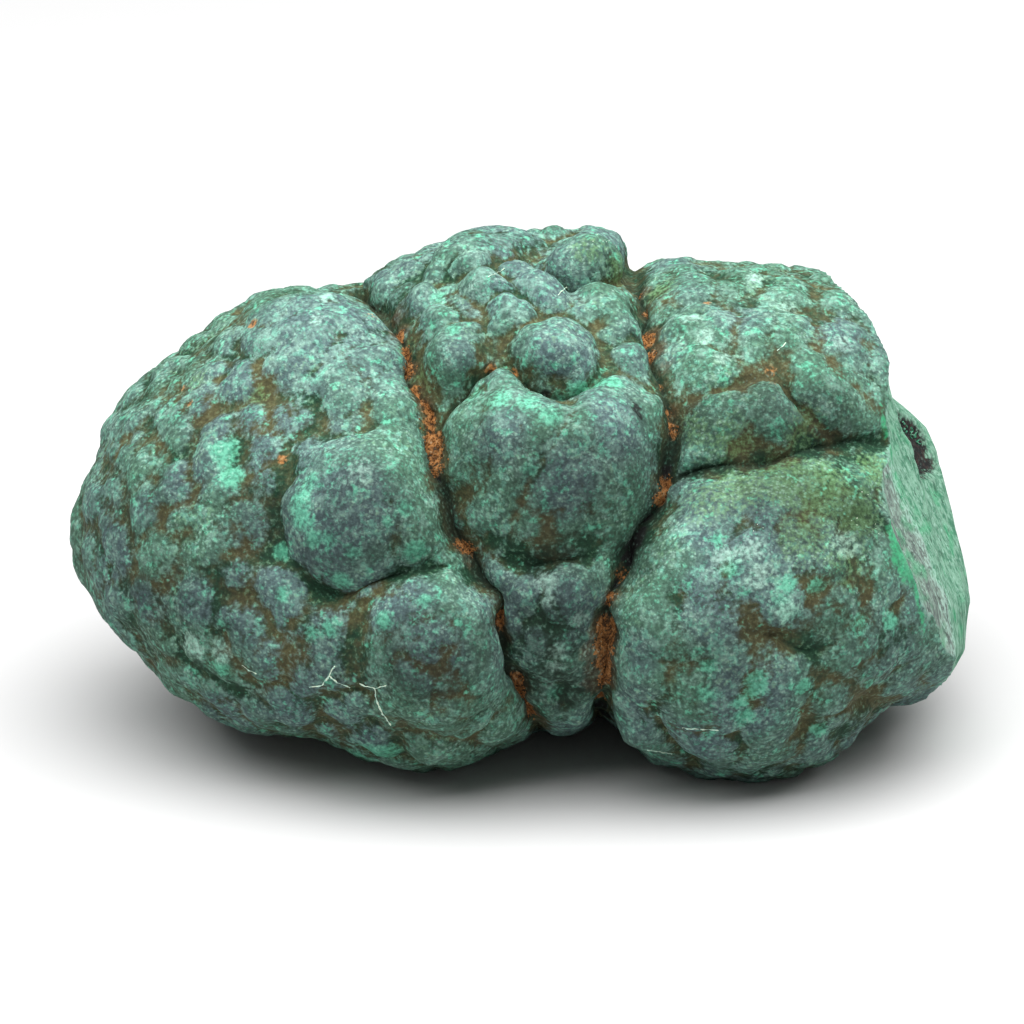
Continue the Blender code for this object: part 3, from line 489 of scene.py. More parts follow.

# %% [markdown]
# ## Lumps
# The skin is made of rounded knobs from 2 to 14 mm across. The ones that give the face its look
# are listed lobe by lobe.

# %% Lumps on the face
# Each as (across, up, radius, rise).
LUMPS = {
    "left lobe, top part": [
        (-19.2, 14.8, 5.6, 1.3), (-21.9, 17, 2.6, 1), (-11.3, 12.1, 1.7, 1.6),
        (-10.5, 8.5, 2.9, 1.7), (-10.2, 5, 2.3, 1.3), (-19.5, 10.9, 2.4, 1.5),
        (-15.6, 9.3, 2.6, 1.3), (-17.6, 13, 2, 1.5), (-12.8, 15.9, 2.2, 0.9),
        (-22.4, 13.6, 1.9, 1.2), (-25.5, 13.1, 1.7, 0.8), (-25.3, 4.6, 2.2, 1.3),
        (-24.6, 2.1, 1.8, 1), (-28.9, 11.9, 1.7, 0.6), (-27.2, 9.3, 2.2, 0.8),
        (-29.5, 6.2, 2.3, 0.9), (-31.9, 9.3, 1.9, 0.7), (-34.3, 6.8, 1.9, 0.8),
        (-32.3, 3.1, 2.1, 1), (-23.4, 8.9, 2.1, 0.9), (-20, 6.8, 1.9, 0.7), (-15.3, 6.5, 2, 0.7),
        (-28.9, 1.9, 1.8, 0.9), (-16.6, 16.5, 2.2, 1.1), (-22.4, 6.8, 1.7, 0.7),
        (-27.2, 6.8, 1.5, 0.8),
    ],
    "left lobe, far left": [
        (-31.7, -0.6, 2.2, 1.1), (-28.1, -1.3, 1.9, 0.9), (-34.3, -3.7, 1.9, 0.9),
        (-31.1, -4.3, 2, 1), (-36.2, 0.4, 1.7, 0.8), (-36.3, -5.1, 1.9, 0.8), (-27.2, -4.7, 2, 0.9),
        (-23.8, -1.7, 2.4, 1), (-23.4, -6, 2.2, 0.9), (-31.9, -7.9, 1.7, 0.9),
        (-28.1, -7.9, 1.7, 0.9), (-33.6, -11.1, 1.9, 0.8), (-30.2, -11.5, 1.7, 0.7),
        (-27.2, -12.2, 2.1, 1), (-25.3, -13.9, 1.4, 1), (-27.2, -15.2, 1.4, 0.7),
        (-29.4, -15.6, 1.4, 0.6), (-24.9, -17.6, 1.6, 0.8), (-24.3, -9.8, 1.9, 0.8),
        (-35.3, -1.7, 1.4, 0.7),
    ],
    "left lobe, round lumps": [
        (-13.6, -0.6, 7, 3), (-18.5, -0.1, 2.9, 1.9), (-8.3, -2, 3.4, 2.3), (-13, 1.4, 3.2, 3.3),
        (-15.3, -3.4, 3.2, 2.6), (-10.7, 2.1, 2.2, 2.9), (-16.6, 2.1, 2, 2.4),
        (-7.5, -11.7, 7.1, 2.6), (-10.5, -9.1, 2.6, 2.3), (-4.7, -9.1, 2.9, 2),
        (-8.1, -15.8, 3.1, 1.8), (-4.4, -13.2, 2.6, 2), (-16.8, -11.5, 3.9, 1.4),
        (-19.5, -7.3, 2.6, 1.2), (-20, -16.6, 2.7, 1.1), (-22.4, -11.9, 2.4, 1),
        (-14.9, -16.6, 2.7, 1.1), (-11.1, -16.4, 2.7, 1.2), (-5.6, -17, 3.1, 1.5),
        (-12.5, -19.8, 2.6, 1.3), (-7.3, -20.2, 3.1, 1.6), (-2.3, -18.7, 2.6, 1.5),
        (-16.6, -18.5, 1.9, 0.9), (-22.6, -17, 2, 0.9), (-15.3, -13.9, 2, 1.2),
        (-18.3, -13.9, 1.9, 0.9),
    ],
    "centre, top": [
        (-12.8, 18.4, 1.8, 1.2), (-10.2, 19.4, 2, 1.2), (-4.9, 20.3, 3.9, 2.2),
        (-3, 17.2, 2.2, 1.9), (-1.3, 21.6, 2.6, 1.5), (5.3, 20.4, 3.4, 2.6), (-8.5, 17, 2, 1.5),
        (-7.5, 14.7, 2, 1.7), (-5.9, 11.9, 3.2, 2.5), (-2.4, 14.7, 1.7, 1.7), (1.2, 17.4, 2.4, 1.5),
        (6.3, 17.1, 2.2, 1.4), (3.1, 12.5, 4.1, 2.8), (8.3, 14.8, 2, 1.2), (9.6, 11.9, 2, 1.1),
        (-1.9, 9.8, 2.2, 1.3), (0.2, 18.7, 1.9, 1.2), (-3.9, 18.9, 1.7, 2), (-6.7, 18.9, 1.9, 1.8),
        (-0.5, 14.8, 1.7, 1.2), (7.4, 15.9, 1.7, 1.2), (10.6, 8, 2, 1.2), (1.2, 22.1, 1.9, 1.3),
        (-5.1, 22.5, 1.7, 1),
    ],
    "heart": [
        (-3.2, 5.5, 4.8, 1.5), (7.4, 6.3, 4.9, 1.5), (2.5, 0.4, 5.3, 1), (9.1, 1.9, 3.2, 1.1),
        (-3, 0.4, 3.6, 1.1), (0.4, 5.7, 2.9, 1.5), (4.5, 4.2, 2.7, 1.5), (-5.4, 2.8, 2, 1.1),
        (-0.5, 2.9, 2.9, 1.2), (6.3, 1.2, 2.9, 1.1),
    ],
    "wedge": [
        (2.8, -8.1, 3.9, 1.2), (1.9, -12.4, 3.4, 1.2), (5.1, -12.4, 2.2, 0.9),
        (1.4, -17.4, 2.3, 1.1), (4.2, -17.6, 2.1, 1.1), (0.2, -8.1, 2.2, 1),
    ],
    "right top": [
        (14.2, 18.1, 3.1, 0.8), (18.7, 18.1, 2.9, 0.8), (22.9, 17.4, 2.9, 0.7),
        (26.3, 17, 2.4, 0.6), (12.3, 14.8, 2.2, 0.8), (15.7, 14, 2.7, 0.8), (19.5, 14, 2.6, 0.8),
        (22.5, 13, 2.7, 0.9), (26.7, 13.1, 2.7, 0.8), (14.8, 10.2, 2.7, 1), (16.7, 7, 2.7, 1),
        (20.4, 7.9, 2.9, 1.6), (25, 9.4, 3.6, 1.7), (27.6, 6.8, 2.2, 1), (14, 5.5, 2.4, 0.9),
        (11.4, 17.4, 1.7, 0.6),
    ],
    "right low": [
        (9.9, -4.7, 1.4, 1.2), (14.8, 0, 3.2, 0.6), (19.9, 0.8, 3.6, 0.6), (25.5, 1.2, 3.7, 0.6),
        (14, -4.7, 3.6, 0.8), (18.7, -5.1, 3.7, 0.8), (23.8, -4.7, 3.7, 0.7),
        (28.4, -4.7, 3.6, 0.6), (10.6, -9.1, 2.9, 0.9), (14.8, -10.2, 3.4, 0.9),
        (20.8, -14.2, 3.6, 1), (25.9, -10.7, 3.9, 0.8), (30.6, -10.7, 3.1, 0.6),
        (9.7, -14.2, 2.7, 0.9), (14.8, -15.8, 3.6, 0.9), (19.9, -17.3, 3.2, 0.9),
        (25.9, -15.8, 3.4, 0.7), (31, -14.9, 2.4, 0.6), (10.4, -19.6, 2.7, 1.4),
        (14.8, -20.2, 3.1, 1), (19.5, -20.4, 3.1, 0.9), (24.2, -19.6, 2.7, 0.8),
        (27.6, -17.5, 2.4, 0.7), (20.8, -8.1, 2.9, 0.9), (16.5, -12.8, 2.4, 0.8),
    ],
}
# How much of its rise each group keeps on the fine mesh. The small lumps in the gaps come last.
SOFTENED = {"left lobe, top part": 0.75, "left lobe, far left": 0.6, "left lobe, round lumps": 0.8,
            "right top": 0.9, "gaps": 0.6}
print("lumps placed by hand:", sum(map(len, LUMPS.values())))

# %% [markdown]
# ## Smaller lumps
# Smaller knobs fill the gaps on the face. They are a seeded draw over an even spiral of places,
# and a knob is dropped where it would crowd another, as real ones keep their distance.

# %% Small lumps on the face
FACE_SEED = 9          # the draw of small lumps on the face
FACE_DRAWS = 2600      # places over the whole stone that are tried for it
FACE_MARGIN = 3.5      # how far behind its rim the face ends


def spiral(count):
    """Directions spread evenly over a sphere."""
    step = np.arange(count) + 0.5
    z = 1 - 2 * step / count
    turn = math.pi * (1 + 5 ** 0.5) * step
    ring = np.sqrt(1 - z * z)
    return np.stack([ring * np.cos(turn), ring * np.sin(turn), z], 1)


def fill_lumps(lumps):
    """Small lumps in the gaps that the larger ones leave on the face."""
    rng = np.random.default_rng(FACE_SEED)
    count = FACE_DRAWS
    radii = rng.choice([0.9, 1.2, 1.5, 1.9], count)
    rises = radii * rng.uniform(0.28, 0.42, count)
    spots = body(spiral(count))
    centres = np.array([centre for centre, _, _ in lumps])
    sizes = np.array([radius for _, radius, _ in lumps])
    made = []
    for k in rng.permutation(count):
        spot, radius = spots[k], radii[k]
        if not is_front(spots[k:k + 1], FACE_MARGIN)[0]:
            continue
        if (np.linalg.norm(centres - spot, axis=1) < 0.8 * sizes + 0.45 * radius).any():
            continue
        if all(np.linalg.norm(spot - c) > 0.75 * (radius + r) for c, r, _ in made):
            made.append((spot, radius, rises[k]))
    return made


print("places tried for small lumps:", len(spiral(FACE_DRAWS)))

# %% [markdown]
# ## Lumps on the back
# Nothing tells the knobs of the back apart, so five sizes are drawn there, the smaller ones more
# often. They may overlap a little more than on the face, since worn knobs on a back merge.

# %% Lumps on the back
BACK_SEED = 4          # the draw of lumps over the back and the underside
BACK_DRAWS = 900       # places over the whole stone that are tried for it


def back_lumps():
    """Lumps of mixed size over the back, the ends and the underside."""
    rng = np.random.default_rng(BACK_SEED)
    count = BACK_DRAWS
    radii = rng.choice([1.8, 2.4, 3.0, 3.8, 5.0], count, p=[0.25, 0.3, 0.2, 0.15, 0.1])
    rises = radii * rng.uniform(0.22, 0.36, count)
    spots = body(spiral(count))
    made = []
    for k in rng.permutation(count):
        if is_front(spots[k:k + 1], FACE_MARGIN)[0]:
            continue
        if all(np.linalg.norm(spots[k] - c) > 0.62 * (radii[k] + r) for c, r, _ in made):
            made.append((spots[k], radii[k], rises[k]))
    return made


print("places tried for the back:", len(spiral(BACK_DRAWS)))

# %% [markdown]
# ## The height of the lumps
# Overlapping lumps keep the higher one, which leaves the sharp little valleys that real knobs
# have. Adding them up instead would melt them into waves.

# %% Lump height
def lump_height(points):
    spots = points + 0.55 * wobble(points, 0.55, 1) + 0.28 * wobble(points, 1.3, 2)
    lumps = [(on_face(a, b)[0], radius, rise * SOFTENED.get(name, 1))
             for name, group in LUMPS.items() for a, b, radius, rise in group]
    small = [(spot, radius, rise * SOFTENED["gaps"]) for spot, radius, rise in fill_lumps(lumps)]
    lumps += small + back_lumps()
    height = np.zeros(len(points))
    for centre, radius, rise in lumps:
        share = ((spots - centre) ** 2).sum(1) / radius**2
        on = share < 1
        height[on] = np.maximum(height[on], rise * (1 - share[on]) ** 0.8)
    return height


rise = swell_height(points) - depth + lump_height(points) * keep
print("relief runs from", rise.min().round(1), "to", rise.max().round(1), "mm")

# %% [markdown]
# ## Raising the relief
# Every point moves along the body's normal by its rise. Then some places are relaxed: the walls
# of the creases, which a steep push leaves jagged, the far left lobe, which is worn smoother, and
# a little of everything, to take off the grid's own edges.

# %% Relief
def vertex_normals(points, quads):
    faces = np.cross(points[quads[:, 2]] - points[quads[:, 0]],
                     points[quads[:, 3]] - points[quads[:, 1]])
    normals = np.zeros_like(points)
    for corner in range(4):
        for axis in range(3):
            normals[:, axis] += np.bincount(quads[:, corner], faces[:, axis], len(points))
    return normals / np.maximum(np.linalg.norm(normals, axis=1, keepdims=True), 1e-12)


def relaxed(points, quads, times, share=0.5):
    """Each point moved part of the way to the middle of its neighbours, a number of times."""
    start = quads.reshape(-1)
    end = np.roll(quads, -1, axis=1).reshape(-1)
    count = np.bincount(start, minlength=len(points))
    for _ in range(times):
        middle = np.stack([np.bincount(start, points[end, k], len(points)) for k in range(3)], 1)
        points = points + share * (middle / count[:, None] - points)
    return points


points = points + vertex_normals(points, quads) * rise[:, None]
walls = smoothstep(near, 0.25, 0.5) * smoothstep(-near, -1.25, -1)
points = relaxed(points, quads, 3, 0.5 * walls[:, None])
worn = smoothstep(-points[:, 0], 8, 22) * smoothstep(near, 0.15, 0.6)
points = relaxed(points, quads, 3, 0.5 * worn[:, None])
points = relaxed(points, quads, 1, 0.3)
print("stone so far, mm:", np.ptp(points, axis=0).round(1), "in the face's axes")

# %% [markdown]
# ## The broken end
# The right end broke off square and shows the inside: a slanted face with fine fibres running
# along it, a low ridge that splits it in two, and a dark pit near its top. A surface is
# defined that says how far across the break lies at each height and depth. Its fibres, ridge and
# pit are part of its formula, so they are real relief.

# %% The broken surface
BREAK_FRONT = 13.3     # how far out of the face the break's front edge lies, at mid height
BREAK_WIDTH = 16.0     # from there back to where it turns straight back
FIBRE = 0.1            # height of the fibres
RIDGE_RISE = 0.85      # height of the ridge that splits the break into two faces
PIT = (5.5, 0.73)      # the pit: its height up, and its share of the way back
PIT_SIZE = (4.0, 0.28, 1.8)    # half its length, half its width as a share of the way back, depth

# The broken end, as (up, across at its front edge, across at its rear edge).
BREAK = [
    (20.5, 26, 24.6), (18.9, 26.9, 25.6), (15.5, 29, 27.8), (12.3, 30.1, 29.2), (10.4, 29.8, 29.9),
    (9.2, 29.4, 31), (7.9, 28.8, 32.5), (6.6, 28.7, 33.8), (4.5, 28.9, 34.8), (1.9, 29.4, 35.5),
    (-0.9, 30, 36.3), (-3, 30.6, 36.8), (-5.8, 31.3, 37.4), (-8.3, 31.8, 37.8), (-9.9, 32.1, 37.4),
    (-12.4, 32.8, 37), (-14.1, 33.5, 35.9), (-16, 33.8, 34.4),
]
# The ridge, as (up, share of the way back).
RIDGE = [
    (9, 0.08), (3.5, 0.12), (0, 0.24), (-2, 0.32), (-6.2, 0.38), (-7.5, 0.46), (-16, 0.6),
]


def way_back(points):
    """How far back on the break each point lies, as a share, and the same for the ridge there."""
    back = (BREAK_FRONT + RIM[1] * points[:, 1] - points[:, 2]) / BREAK_WIDTH
    up, share = np.array(RIDGE[::-1]).T
    return back, np.interp(points[:, 1], up, share)


def pit_share(points):
    """How far into the pit each point lies: 0 at its ragged rim, 1 in its middle."""
    ragged = wobble(points, 1.5, 23)
    height = (points[:, 1] - PIT[0] + 0.5 * ragged[:, 0]) / PIT_SIZE[0]
    back = (way_back(points)[0] - PIT[1] + 0.03 * ragged[:, 1]) / PIT_SIZE[1]
    return np.clip(1 - height**2 - (back + 0.3 * height) ** 2, 0, 1)


def break_surface(points):
    """Where the broken end lies across, at each point's height and depth."""
    up, front, rear = np.array(BREAK[::-1]).T
    height = points[:, 1]
    front = np.interp(height, up, front)
    rear = np.interp(height, up, rear)
    back, ridge = way_back(points)
    tent = np.clip(np.minimum(back / ridge, (1 - back) / (1 - ridge)), 0, 1)
    along = np.stack([0.12 * height + 0.3 * points[:, 2], points[:, 2], 0 * height], 1)
    fibres = wobble(along * (1, 1, 0), 5.0, 21)[:, 0] + 0.8 * wobble(along, 2.2, 22)[:, 1]
    fibres += 2.5 * wobble(points * (0, 0.5, 1), 0.9, 24)[:, 0]
    hollow = PIT_SIZE[2] * pit_share(points) ** 0.7
    slant = (rear - front) * np.clip(back, -0.5, 1)
    return front + slant + RIDGE_RISE * tent + FIBRE * fibres - hollow


print("break in the middle lies", break_surface(np.zeros((1, 3)))[0].round(1), "mm across")

# %% [markdown]
# ## Breaking the end
# The points that reach past that surface are pushed back onto it, which keeps the grid whole,
# where a cut would need a new one. How far a point was pushed also tells what is fresh break and
# what is old skin, and where the brink between them is. The pit, the rear face and the crest
# of the ridge are kept as shares too, for the colours.

# %% Breaking the end
def break_off(points, quads):
    """The right end pushed back to the break and evened; and how far each point had to go."""
    over = points[:, 0] - break_surface(points)
    points = points.copy()
    points[:, 0] -= np.maximum(over, 0)
    points = relaxed(points, quads, 10, 0.5 * smoothstep(over, 0.1, 1.5)[:, None])
    limit = break_surface(points)
    points[:, 0] = np.where(over > 0.1, limit, np.minimum(points[:, 0], limit))
    return points, over


points, over = break_off(points, quads)
broken = smoothstep(over, -0.15, 0.35)
brink = smoothstep(over, -0.8, -0.1) * (1 - smoothstep(over, 0.2, 0.7))
pit = pit_share(points) * broken
back, ridge = way_back(points)
rear = smoothstep(back - ridge, -0.03, 0.05)
crest = np.clip(1 - np.abs(back - ridge) / 0.07, 0, 1) * broken
print("broken end:", int((broken > 0.5).sum()), "points,", int((pit > 0.3).sum()), "in the pit")

# %% [markdown]
# ## A map of the surface
# The six sides of the starting cube are laid out as six tiles of one square, with the large front
# and back getting the most room, so a picture baked from the material is sharp where it matters
# and no tile has a seam inside it. Unwrapping by angle would give dozens of islands.

# %% Map
# Each side's tile: its left, bottom, width and height, and whether it is turned.
TILES = (
    (0.62, 0.00, 0.38, 0.25, False), (0.62, 0.25, 0.38, 0.25, False),
    (0.62, 0.50, 0.38, 0.25, True), (0.62, 0.75, 0.38, 0.25, False),
    (0.00, 0.00, 0.62, 0.50, False), (0.00, 0.50, 0.62, 0.50, True),
)
TILE_GAP = 0.004       # kept free round each tile, so that no colour leaks into the next


def tile_map(count):
    """A place on the map for every corner of every quad, side by side."""
    corner = np.array([(0, 0), (1, 0), (1, 1), (0, 1)])
    cell = np.stack(np.meshgrid(np.arange(count), np.arange(count), indexing="ij"), -1)
    inside = (cell.reshape(-1, 1, 2) + corner) / count
    made = []
    for left, bottom, wide, high, turned in TILES:
        place = inside[..., ::-1] if turned else inside
        room = np.array([wide, high]) - 2 * TILE_GAP
        made.append(place * room + (left + TILE_GAP, bottom + TILE_GAP))
    return np.concatenate(made).reshape(-1, 2)


print("map:", len(TILES), "tiles,", len(tile_map(GRID)), "corners")

# %% [markdown]
# ## The rough mesh
# The points become one mesh in the world's axes. It also carries two measures: how much of a
# point is old skin, and how calm the surface is there, since small knobs only show on calm places.

# %% Rough mesh
def in_world(points):
    """Face axes in millimetres to the world in metres."""
    return (points @ FACE - SHIFT) / 1000


def put(mesh, name, values):
    """Stores one number for each point of a mesh, for materials and node trees to read."""
    layer = mesh.attributes.new(name, "FLOAT", "POINT")
    layer.data.foreach_set("value", np.asarray(values, np.float32))


raw = bpy.data.meshes.new("rough_stone")
raw.from_pydata(in_world(points).tolist(), [], quads.tolist())
raw.uv_layers.new(name="OFBake").data.foreach_set("uv", tile_map(GRID).ravel())
put(raw, "skin", 1 - broken)
busy = np.abs(((relaxed(points, quads, 16) - points) * vertex_normals(points, quads)).sum(1))
busy = relaxed(np.stack([busy] * 3, 1), quads, 30)[:, 0]
put(raw, "calm", 1 - 0.85 * smoothstep(busy, 0.03, 0.11))
raw.update()
raw.shade_smooth()
print("mesh:", len(raw.polygons), "quads, map:", raw.uv_layers[0].name)

# %% [markdown]
# ## Helpers for node trees
# Both materials and Geometry Nodes are trees of nodes. One small helper adds a node, sets its
# options and wires or fills its inputs, so that each tree below reads as a recipe.

# %% Wiring helper
class Wiring:
    """Adds nodes to one tree. Most helpers return the socket that they put out."""

    def __init__(self, tree):
        self.tree = tree

    def node(self, kind, inputs=(), **options):
        made = self.tree.nodes.new(kind)
        for name, value in options.items():
            setattr(made, name, value)
        for place, value in dict(inputs).items():
            if isinstance(value, bpy.types.NodeSocket):
                self.tree.links.new(value, made.inputs[place])
            else:
                made.inputs[place].default_value = value
        return made

    def math(self, operation, a, b=0.0):
        return self.node("ShaderNodeMath", {0: a, 1: b}, operation=operation).outputs[0]

    def add(self, *values):
        total = values[0]
        for value in values[1:]:
            total = self.math("ADD", total, value)
        return total

    def times(self, a, b):
        return self.math("MULTIPLY", a, b)

    def ease(self, value, low, high, bottom=0.0, top=1.0):
        """Goes smoothly from bottom to top as the value passes from low to high."""
        return self.node("ShaderNodeMapRange", {
            "Value": value, "From Min": low, "From Max": high, "To Min": bottom, "To Max": top,
        }, interpolation_type="SMOOTHSTEP").outputs["Result"]

    def noise(self, at, size, detail=2.0, rough=0.5, bend=0.0):
        return self.node("ShaderNodeTexNoise", {
            "Vector": at, "Scale": 1 / size, "Detail": detail, "Roughness": rough,
            "Distortion": bend,
        }).outputs["Fac"]

    def cells(self, at, size, **options):
        return self.node("ShaderNodeTexVoronoi", {"Vector": at, "Scale": 1 / size}, **options)

    def vector(self, operation, a, b=(0, 0, 0), scale=1.0):
        inputs = {0: a, "Scale": scale} if operation == "SCALE" else {0: a, 1: b}
        return self.node("ShaderNodeVectorMath", inputs, operation=operation).outputs[0]

    def sway(self, at, rate, amount, detail=2.0):
        """A small uneven shift in three directions, to bend a pattern or a line by."""
        uneven = self.node("ShaderNodeTexNoise", {"Vector": at, "Scale": rate, "Detail": detail})
        centred = self.vector("SUBTRACT", uneven.outputs["Color"], (0.5, 0.5, 0.5))
        return self.vector("SCALE", centred, scale=amount)

    def swing(self, value, amount):
        """A value between 0 and 1 made to swing about nothing, by this much in all."""
        return self.times(self.add(value, -0.5), amount)

    def mix(self, share, under, over, mode="MIX"):
        return self.node("ShaderNodeMix", {0: share, 6: under, 7: over},
                         data_type="RGBA", blend_type=mode).outputs[2]


print("wiring helper ready")

# %% [markdown]
# ## Running a geometry tree
# A geometry tree has named inputs. Its modifier is fed by each input's identifier, evaluated
# once, and turned into a plain mesh, so nothing live is left on the finished piece.

# %% Geometry tree helpers
def new_sockets(tree, ins, outs):
    """Gives a tree its inputs, as (name, kind, value), and its outputs, as (name, kind)."""
    for name, kind, value in ins:
        socket = tree.interface.new_socket(name, in_out="INPUT", socket_type="NodeSocket" + kind)
        if value is not None:
            socket.default_value = value
    for name, kind in outs:
        tree.interface.new_socket(name, in_out="OUTPUT", socket_type="NodeSocket" + kind)


def run_tree(mesh, name, tree, **values):
    """The plain mesh that a geometry tree makes from another mesh, its inputs set by identifier."""
    thing = bpy.data.objects.new(name, mesh)
    bpy.context.scene.collection.objects.link(thing)
    modifier = thing.modifiers.new(name, "NODES")
    modifier.node_group = tree
    for socket in tree.interface.items_tree:
        if socket.in_out == "INPUT" and socket.name in values:
            modifier[socket.identifier] = values[socket.name]
    evaluated = thing.evaluated_get(bpy.context.evaluated_depsgraph_get())
    made = bpy.data.meshes.new_from_object(evaluated)
    thing.modifiers.remove(modifier)
    made.name = name
    thing.data = made
    print(name + ":", len(made.vertices), "points,", len(made.polygons), "faces")
    return thing


print("geometry tree helpers ready")

# %% [markdown]
# ## Colours
# A paint chart in everyday 0-255 values is easy to compare by eye, but a shader works with linear
# light. One helper converts them.

# %% Paint chart
def paint(red, green, blue):
    """An everyday 0-255 colour as the linear colour that a shader takes."""
    channels = np.array([red, green, blue]) / 255
    linear = np.where(channels <= 0.04045, channels / 12.92, ((channels + 0.055) / 1.055) ** 2.4)
    return (*linear.tolist(), 1.0)


CHART = {
    "teal": (68, 102, 84), "slate": (76, 98, 98), "purple": (62, 80, 86), "light": (126, 164, 150),
    "olive": (78, 76, 48), "bottle": (24, 60, 40), "moss": (88, 122, 76), "shade": (22, 38, 28),
    "mint": (90, 182, 148), "fleck": (110, 172, 152), "frost": (168, 206, 190),
    "clay": (156, 104, 54), "dark clay": (76, 52, 30), "leaf": (44, 156, 104),
    # the near-black on the next line is painted shade, for the pit and the deepest gaps
    "painted shade black": (20, 20, 20), "pit brown": (48, 38, 34), "break grey": (88, 98, 94),
    "break pale": (126, 148, 136), "break green": (62, 116, 90), "break light": (124, 166, 144),
    "thread": (206, 222, 200), "crumb": (190, 138, 84), "crystal": (14, 96, 62),
    # the near-white on the next line is a painted glint for the clear crystals
    "painted_glint": (226, 234, 214),
}
COLOUR = {name: paint(*values) for name, values in CHART.items()}
print("paint chart:", len(COLOUR), "colours")

# %% [markdown]
# ## Fine relief
# Between the knobs the skin is still uneven: soft bumps about a millimetre wide, and a grain as
# fine as the mesh can hold. That is the same everywhere on the skin, so it suits a small geometry
# tree: cells give the bumps, noise gives the grain, and both push the points along their normals.
# The fresh break is left alone.

# %% Fine relief tree
def fine_relief_tree():
    tree = bpy.data.node_groups.new("fine relief", "GeometryNodeTree")
    new_sockets(tree, [
        ("Geometry", "Geometry", None), ("Knob Size", "Float", 0.003),
        ("Knob Height", "Float", 0.0003), ("Bump Size", "Float", 0.001),
        ("Bump Height", "Float", 0.0001), ("Grain Size", "Float", 0.0005),
        ("Grain Height", "Float", 0.00005), ("Material", "Material", None),
    ], [("Geometry", "Geometry")])
    w = Wiring(tree)
    given = w.node("NodeGroupInput").outputs
    at = w.node("GeometryNodeInputPosition").outputs[0]
    normal = w.node("GeometryNodeInputNormal").outputs[0]

    def stored(name):
        return w.node("GeometryNodeInputNamedAttribute", {"Name": name},
                      data_type="FLOAT").outputs[0]

    def scaled(place, size):
        return w.vector("SCALE", place, scale=w.math("DIVIDE", 1.0, given[size]))

    def rounded_cells(place, height):
        away = w.node("ShaderNodeTexVoronoi", {
            "Vector": place, "Scale": 1.0, "Smoothness": 0.3,
        }, feature="SMOOTH_F1").outputs["Distance"]
        dome = w.math("SUBTRACT", 1.0, w.math("POWER", w.math("DIVIDE", away, 0.68), 2.0))
        return w.times(w.math("MAXIMUM", dome, 0.0), given[height])

    sway = w.sway(scaled(at, "Knob Size"), 1.0, 0.7)
    knobs = rounded_cells(w.vector("ADD", scaled(at, "Knob Size"), sway), "Knob Height")
    bumps = rounded_cells(scaled(at, "Bump Size"), "Bump Height")
    grain = w.math("SUBTRACT", w.noise(scaled(at, "Grain Size"), 1.0, 1.0), 0.5)
    grain = w.times(grain, w.times(given["Grain Height"], 4.0))
    push = w.times(w.add(w.times(knobs, stored("calm")), bumps, grain), stored("skin"))
    moved = w.node("GeometryNodeSetPosition", {
        "Geometry": given["Geometry"], "Offset": w.vector("SCALE", normal, scale=push),
    }).outputs[0]
    whole = w.node("GeometryNodeRealizeInstances", {"Geometry": moved}).outputs[0]
    done = w.node("GeometryNodeSetMaterial", {
        "Geometry": whole, "Material": given["Material"],
    }).outputs[0]
    w.node("NodeGroupOutput", {"Geometry": done})
    return tree


print("fine relief: knobs, bumps and grain, each with a size and a height")

# %% [markdown]
# ## The skin's own mesh
# The tree is run once on the rough mesh. The knobs are 3.1 mm wide and up to 0.6 mm high, the
# bumps 1.3 mm and 0.12 mm, and the grain 0.7 mm and 0.04 mm.

# %% Skin mesh
skin_material = bpy.data.materials.new("malachite skin")
stone = run_tree(raw, "malachite_skin", fine_relief_tree(), **{
    "Knob Size": 0.0031, "Knob Height": 0.0006, "Bump Size": 0.0013, "Bump Height": 0.00012,
    "Grain Size": 0.0007, "Grain Height": 0.00004, "Material": skin_material,
})
mesh = stone.data
print("fine relief on:", stone.name)

# %% [markdown]
# ## Creases that pass through themselves
# Where both walls of a narrow crease are pushed outwards, some faces pass through one another,
# which can't be on a real stone. A search tree finds every such pair. The points round them are
# relaxed again and again, until no pair is left. Wider creases would cure it too, but they would
# lose their sharp bottoms.

# %% Untangling
def read_points(mesh):
    flat = np.empty(len(mesh.vertices) * 3, np.float32)
    mesh.vertices.foreach_get("co", flat)
    return flat.reshape(-1, 3).astype(float)


def crossed(points, faces):
    """The faces that pass through one another."""
    tree = BVHTree.FromPolygons(points.tolist(), faces.tolist(), epsilon=0.0)
    pairs = np.array(tree.overlap(tree), int).reshape(-1, 2)
    one, other = faces[pairs[:, 0]], faces[pairs[:, 1]]
    apart = ~(one[:, :, None] == other[:, None, :]).any((1, 2))
    return faces[np.unique(pairs[apart])]


def untangled(points, faces, turns):
    """The points, relaxed wherever faces pass through one another."""
    for turn in range(turns):
        bad = crossed(points, faces)
        print("faces that cross:", len(bad))
        if len(bad) == 0:
            break
        share = np.zeros((len(points), 3))
        share[bad.ravel()] = 1
        share = np.clip(2 * relaxed(share, quads, 1), 0, 1)
        points = relaxed(points, quads, 2, 0.4 * share)
    return points


MOST_TURNS = 20        # it takes about half as many
mesh.calc_loop_triangles()
triangles = np.array([triangle.vertices[:] for triangle in mesh.loop_triangles])
spots = untangled(read_points(mesh) * 1000, triangles, MOST_TURNS)
spots[:, 2] = np.maximum(spots[:, 2], 0)    # nothing sinks into the table
mesh.vertices.foreach_set("co", (spots / 1000).astype(np.float32).ravel())
mesh.update()

# %% [markdown]
# ## Hollows and crests
# Colour on a natural stone follows its shape: mint crusts and dust sit on the worn tops, and a
# green-brown film in the hollows. So the mesh is measured. A smoothed copy of it tells which
# points lie in a hollow and which on a crest, at two scales.

# %% Hollows and crests
def sunk_below(times):
    """How far each point lies below a smoothed copy of the stone, in millimetres."""
    return ((relaxed(spots, quads, times) - spots) * normals).sum(1)


